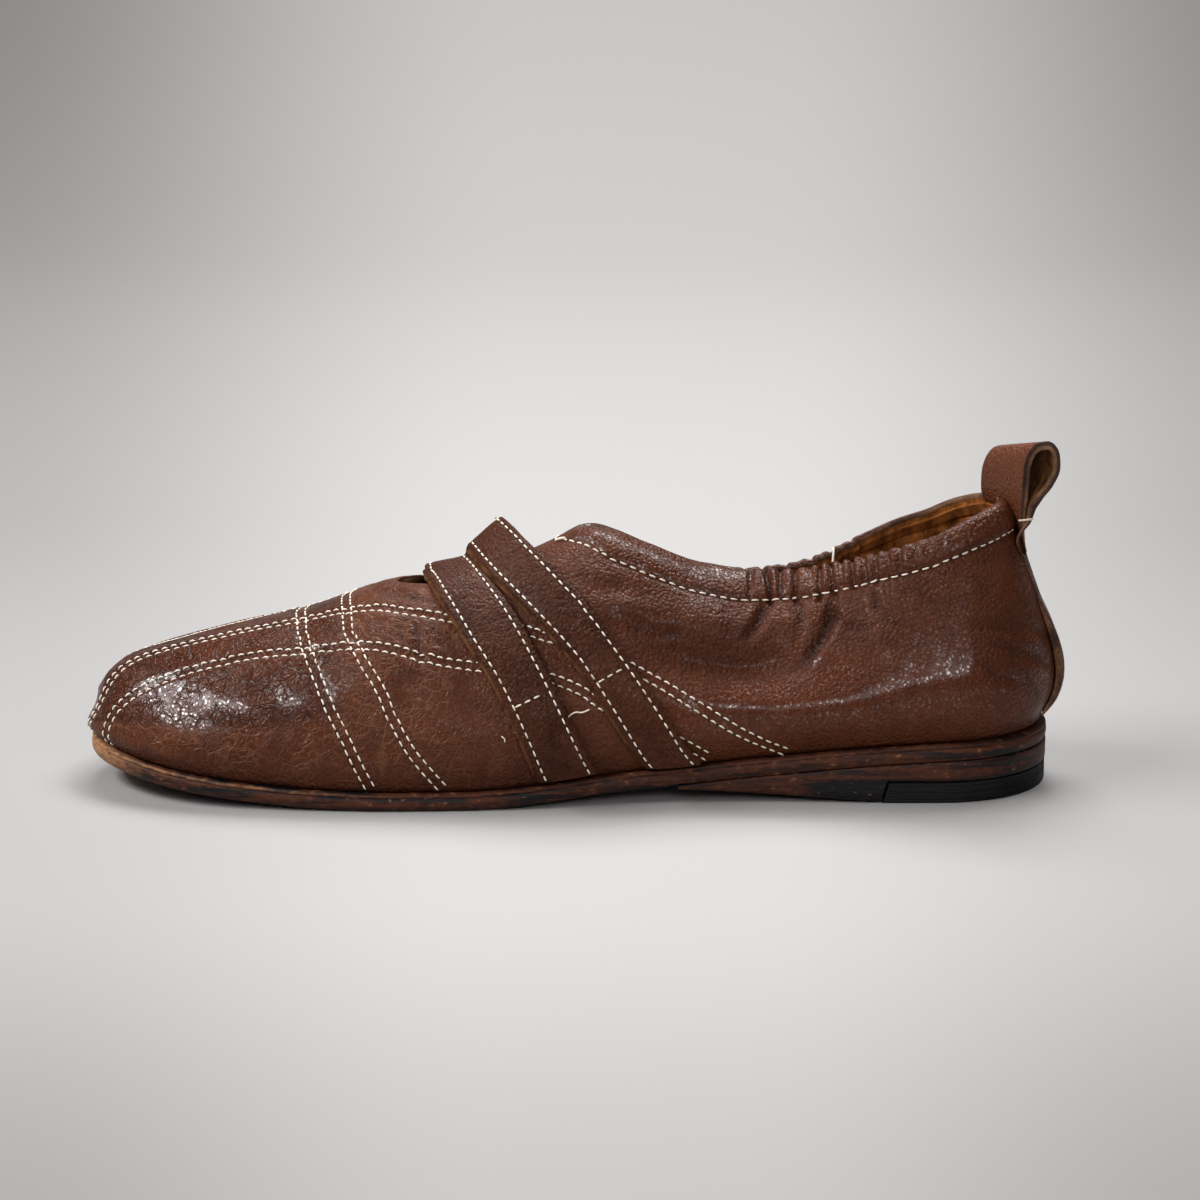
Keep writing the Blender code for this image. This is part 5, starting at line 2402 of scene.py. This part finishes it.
# Profiles of the sole's edges, as rings of inset and share of the height
OUTSOLE_EDGE = [
    (1.2, 0.0), (0.55, 0.05), (0.25, 0.15), (0.05, 0.32), (0.0, 0.5), (0.08, 0.66), (0.3, 0.72),
    (0.42, 0.76), (0.25, 0.8), (0.18, 0.88), (0.4, 0.96), (0.85, 1.0),
]
LIFT_EDGE = [(0.5, 0.0), (0.15, 0.06), (0.05, 0.25), (0.12, 0.5), (0.05, 0.75), (0.1, 0.94), (0.3, 1.0)]


@dataclass
class Sole:
    """Outsole, heel lift, rubber top piece and insole."""

    last: Last
    top_piece_height: float = 5.6
    top_piece_front: float = 214.4
    top_piece_lean: float = 1.6
    rib_count: int = 9
    rib_inset: float = 0.2
    rib_depth: float = 0.22
    rubber_foot_inset: float = 0.7
    rubber_top_inset: float = 0.3
    outsole_steps: int = 210
    lift_steps: int = 60
    heel_steps: int = 70
    insole_steps: int = 120
    outsole_rough: float = 0.07
    lift_rough: float = 0.06
    insole_rough: float = 0.05
    seam: float = 0.05
    insole_edge: float = 4.4
    insole_thickness: float = 2.0

    def floor(self, s: Array) -> Array:
        """Height of the floor."""
        return 0.0 * s

    def rubber_top(self, s: Array) -> Array:
        """Height of the rubber's upper face."""
        return 0.0 * s + self.top_piece_height

    def lift_foot(self, s: Array) -> Array:
        """Height of the wedge's underside."""
        return LIFT_FOOT("height", s)

    def lift_top(self, s: Array) -> Array:
        """Height of the wedge's upper face."""
        return self.last.underside(s) - self.seam

    def insole_foot(self, s: Array) -> Array:
        """Height of the insole's underside."""
        return self.last.sole_top(s) + self.last.gap

    def insole_top(self, s: Array) -> Array:
        """Height of the insole's upper face."""
        return self.insole_foot(s) + self.insole_thickness

    def layers(self) -> list[SoleLayer]:
        """Lays out the outsole, the wedge under the heel, the ribbed rubber and the insole.

        Returns:
            The layers, in that order.
        """
        last, length, edge = self.last, self.last.sole_length, self.insole_edge
        along, heights = eased(0, length, self.outsole_steps, True, True), (last.underside, last.sole_top)
        outsole = SoleLayer("outsole_leather", last, OUTSOLE_EDGE, along, *heights, self.outsole_rough)
        ahead = eased(LIFT_FOOT.at[0], LIFT_FOOT.at[3], self.lift_steps, False, False)
        along = np.concatenate([ahead, eased(LIFT_FOOT.at[4], length, self.heel_steps, False, True)])
        heights = (self.lift_foot, self.lift_top)
        lift = SoleLayer("heel_lift_leather", last, LIFT_EDGE, along, *heights, self.lift_rough)
        shares = np.linspace(0, 1, 4 * self.rib_count + 1)
        insets = self.rib_inset + self.rib_depth * (0.5 - 0.5 * np.cos(2 * np.pi * self.rib_count * shares))
        insets[0], insets[-1] = self.rubber_foot_inset, self.rubber_top_inset
        ribs, fronts = list(zip(insets, shares)), list(self.top_piece_front + self.top_piece_lean * shares)
        along = eased(self.top_piece_front, length, self.heel_steps, False, True)
        rubber = SoleLayer("heel_rubber", last, ribs, along, self.floor, self.rubber_top, 0.0, fronts)
        along = eased(edge, length - edge, self.insole_steps, True, True)
        heights = (self.insole_foot, self.insole_top)
        rings = [(edge, 0.0), (edge, 0.5), (edge + 0.15, 0.8), (edge + 0.5, 1.0)]
        insole = SoleLayer("insole_suede", last, rings, along, *heights, self.insole_rough)
        return [outsole, lift, rubber, insole]


# The studio


TARGET = (0.0072, -0.00186, 0.0485)


@dataclass(frozen=True)
class SoftBox:
    """One soft light: where it hangs and looks, its width and height, and its power in watts."""

    name: str
    place: Place
    size: tuple[float, float]
    power: float
    aim: Place = TARGET

    def build(self) -> None:
        """Hangs the light."""
        data = bpy.data.lights.new(self.name, "AREA")
        data.shape, data.energy = "RECTANGLE", self.power
        data.size, data.size_y = self.size
        light = placed(self.name, data)
        light.location = self.place
        light.rotation_euler = (Vector(self.aim) - Vector(self.place)).to_track_quat("-Z", "Y").to_euler()


LIGHTS = [
    SoftBox("key", (-0.80, -0.22, 0.86), (1.0, 0.32), 15.0),
    SoftBox("overhead", (0.42, 0.4, 1.18), (0.55, 0.45), 9.0),
    SoftBox("fill", (0.27, -1.1, 0.6), (0.9, 0.34), 4.8),
    SoftBox("backdrop", (0.0, 1.4, 2.0), (1.2, 1.2), 56.0, (0.0, 1.7, 0.0)),
]


@dataclass
class Studio:
    """Floor, light and camera."""

    target: Place = TARGET
    distance: float = 0.8
    elevation: float = 12.5
    focal_pixels: float = 2940.0
    image_pixels: float = 1200.0
    sweep_start: float = 1.3
    sweep: float = 0.22
    air: Color = (0.80, 0.785, 0.775)
    air_strength: float = 0.07

    def build(self) -> None:
        """Makes the floor, the lights and the camera."""
        self.make_floor()
        self.make_world()
        for light in LIGHTS:
            light.build()
        self.make_camera()
        bpy.context.scene.view_settings.view_transform = "Standard"

    def make_floor(self) -> None:
        """Makes the pale floor, which sweeps up far behind the shoe."""
        bpy.ops.object.select_all(action="DESELECT")
        bpy.ops.mesh.primitive_grid_add(x_subdivisions=2, y_subdivisions=80, size=8.0)
        floor = bpy.context.object
        floor.name = "floor"
        points, _ = read_points(floor)
        points[:, 2] = self.sweep * np.clip(points[:, 1] - self.sweep_start, 0, None) ** 2
        write_points(floor, points)
        floor.data.shade_smooth()
        dress(floor, StudioFloor("studio_floor").build())

    def make_world(self) -> None:
        """Makes the soft light all round."""
        world = bpy.data.worlds.new("studio")
        world.use_nodes = True
        background = world.node_tree.nodes["Background"]
        background.inputs["Color"].default_value = (*self.air, 1.0)
        background.inputs["Strength"].default_value = self.air_strength
        bpy.context.scene.world = world

    def make_camera(self) -> None:
        """Makes the camera at the photograph's angle."""
        data = bpy.data.cameras.new("camera")
        data.angle = 2 * math.atan(self.image_pixels / 2 / self.focal_pixels)
        camera = placed("camera", data)
        tilt = math.radians(self.elevation)
        away = Vector((0, -math.cos(tilt), math.sin(tilt))) * self.distance
        camera.location = Vector(self.target) + away
        camera.rotation_euler = (-away).to_track_quat("-Z", "Y").to_euler()
        bpy.context.scene.camera = camera


def hand_over(piece: Piece, slot: str = "", *nodes: str) -> None:
    """Rides a piece on the shoe's one body, and hides the solids that it replaces.

    Args:
        piece: the finished piece.
        slot: not used.
        nodes: the solids that it replaces.
    """
    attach(piece, "root")
    if nodes:
        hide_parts(*nodes)
    LOG.info("%s: %d triangles", piece.name, triangles(piece))


def make_strap_finishes(grain: Grain) -> dict[str, Material]:
    """Makes the finishes of the straps, the strip and the loop.

    Args:
        grain: the leather's grain.

    Returns:
        The materials by their use.
    """
    strap_browns = (0.019, 0.0045, 0.0018), (0.038, 0.0094, 0.0036), (0.060, 0.0168, 0.0068)
    loop_browns = (0.045, 0.0120, 0.0052), (0.098, 0.0300, 0.0135), (0.128, 0.0420, 0.0195)
    finishes = {
        "leather": WaxedLeather("strap_leather", grain, *strap_browns, shine=0.1),
        "loop": WaxedLeather("loop_leather", grain, *loop_browns),
        "backing": Suede("strap_backing", (0.04, 0.015, 0.007), (0.14, 0.06, 0.026)),
        "raw": Suede("loop_lining", (0.022, 0.009, 0.004), (0.15, 0.06, 0.022)),
        "edge": CutEdge("strap_cut_edge"),
        "dressed": CutEdge("dressed_edge", (0.018, 0.007, 0.005), (0.07, 0.028, 0.014)),
    }
    return {use: finish.build() for use, finish in finishes.items()}


def main() -> None:
    """Builds the studio and every piece of the shoe in order."""
    logging.basicConfig(level=logging.INFO, format="%(name)s: %(message)s")
    Studio().build()
    last, grain = Last(), Grain()
    sole_leather, rubber = SoleLeather("sole_leather").build(), Rubber("heel_rubber").build()
    insole_suede = Suede("insole_suede", (0.06, 0.03, 0.014), (0.17, 0.09, 0.045)).build()
    outsole, lift, top_piece, insole = Sole(last).layers()
    hand_over(outsole.build(sole_leather), "sole_leather", "outsole")
    hand_over(lift.build(sole_leather), "sole_leather", "heel_lift")
    hand_over(top_piece.build(rubber), "heel_rubber", "heel_top_piece")
    hand_over(insole.build(insole_suede), "insole_suede", "insole")

    upper = Upper(last, grain)
    hand_over(upper.build(), "upper_leather", "upper")
    strap_finishes = make_strap_finishes(grain)
    thread, pinhole_shade = Thread("linen_thread").build(), PinholeShade("needle_hole").build()
    straps = [
        Strap("strap_front", "strap_front", last, FRONT_STRAP, (0.29, 0.33), far_lead=3.5),
        Strap("strap_rear", "strap_rear", last, REAR_STRAP, (0.34, 0.405)),
    ]
    for strap in straps:
        top, under = strap.build(strap_finishes)
        hand_over(top, "strap_leather", strap.node)
        hand_over(under, "strap_leather")
    heel = HeelBack(last)
    hand_over(BackStrip(heel).build(strap_finishes), "strap_leather", "back_strip")
    loop = PullLoop(heel)
    outer, inner = loop.build(strap_finishes)
    hand_over(outer, "strap_leather", "pull_loop")
    hand_over(inner, "strap_leather")

    stitchings = [Stitching("upper_stitches", upper.skin, upper_rows(upper))]
    stitchings += [Stitching(f"{strap.name}_stitches", strap.skin, strap.rows()) for strap in straps]
    for stitching in stitchings:
        for piece, finish in ((stitching.build_threads(), thread), (stitching.build_holes(), pinhole_shade)):
            dress(piece, finish)
            hand_over(piece)

    loose = LooseThreads(upper, loop).build()
    dress(loose, thread)
    hand_over(loose)


if __name__ == "__main__":
    main()
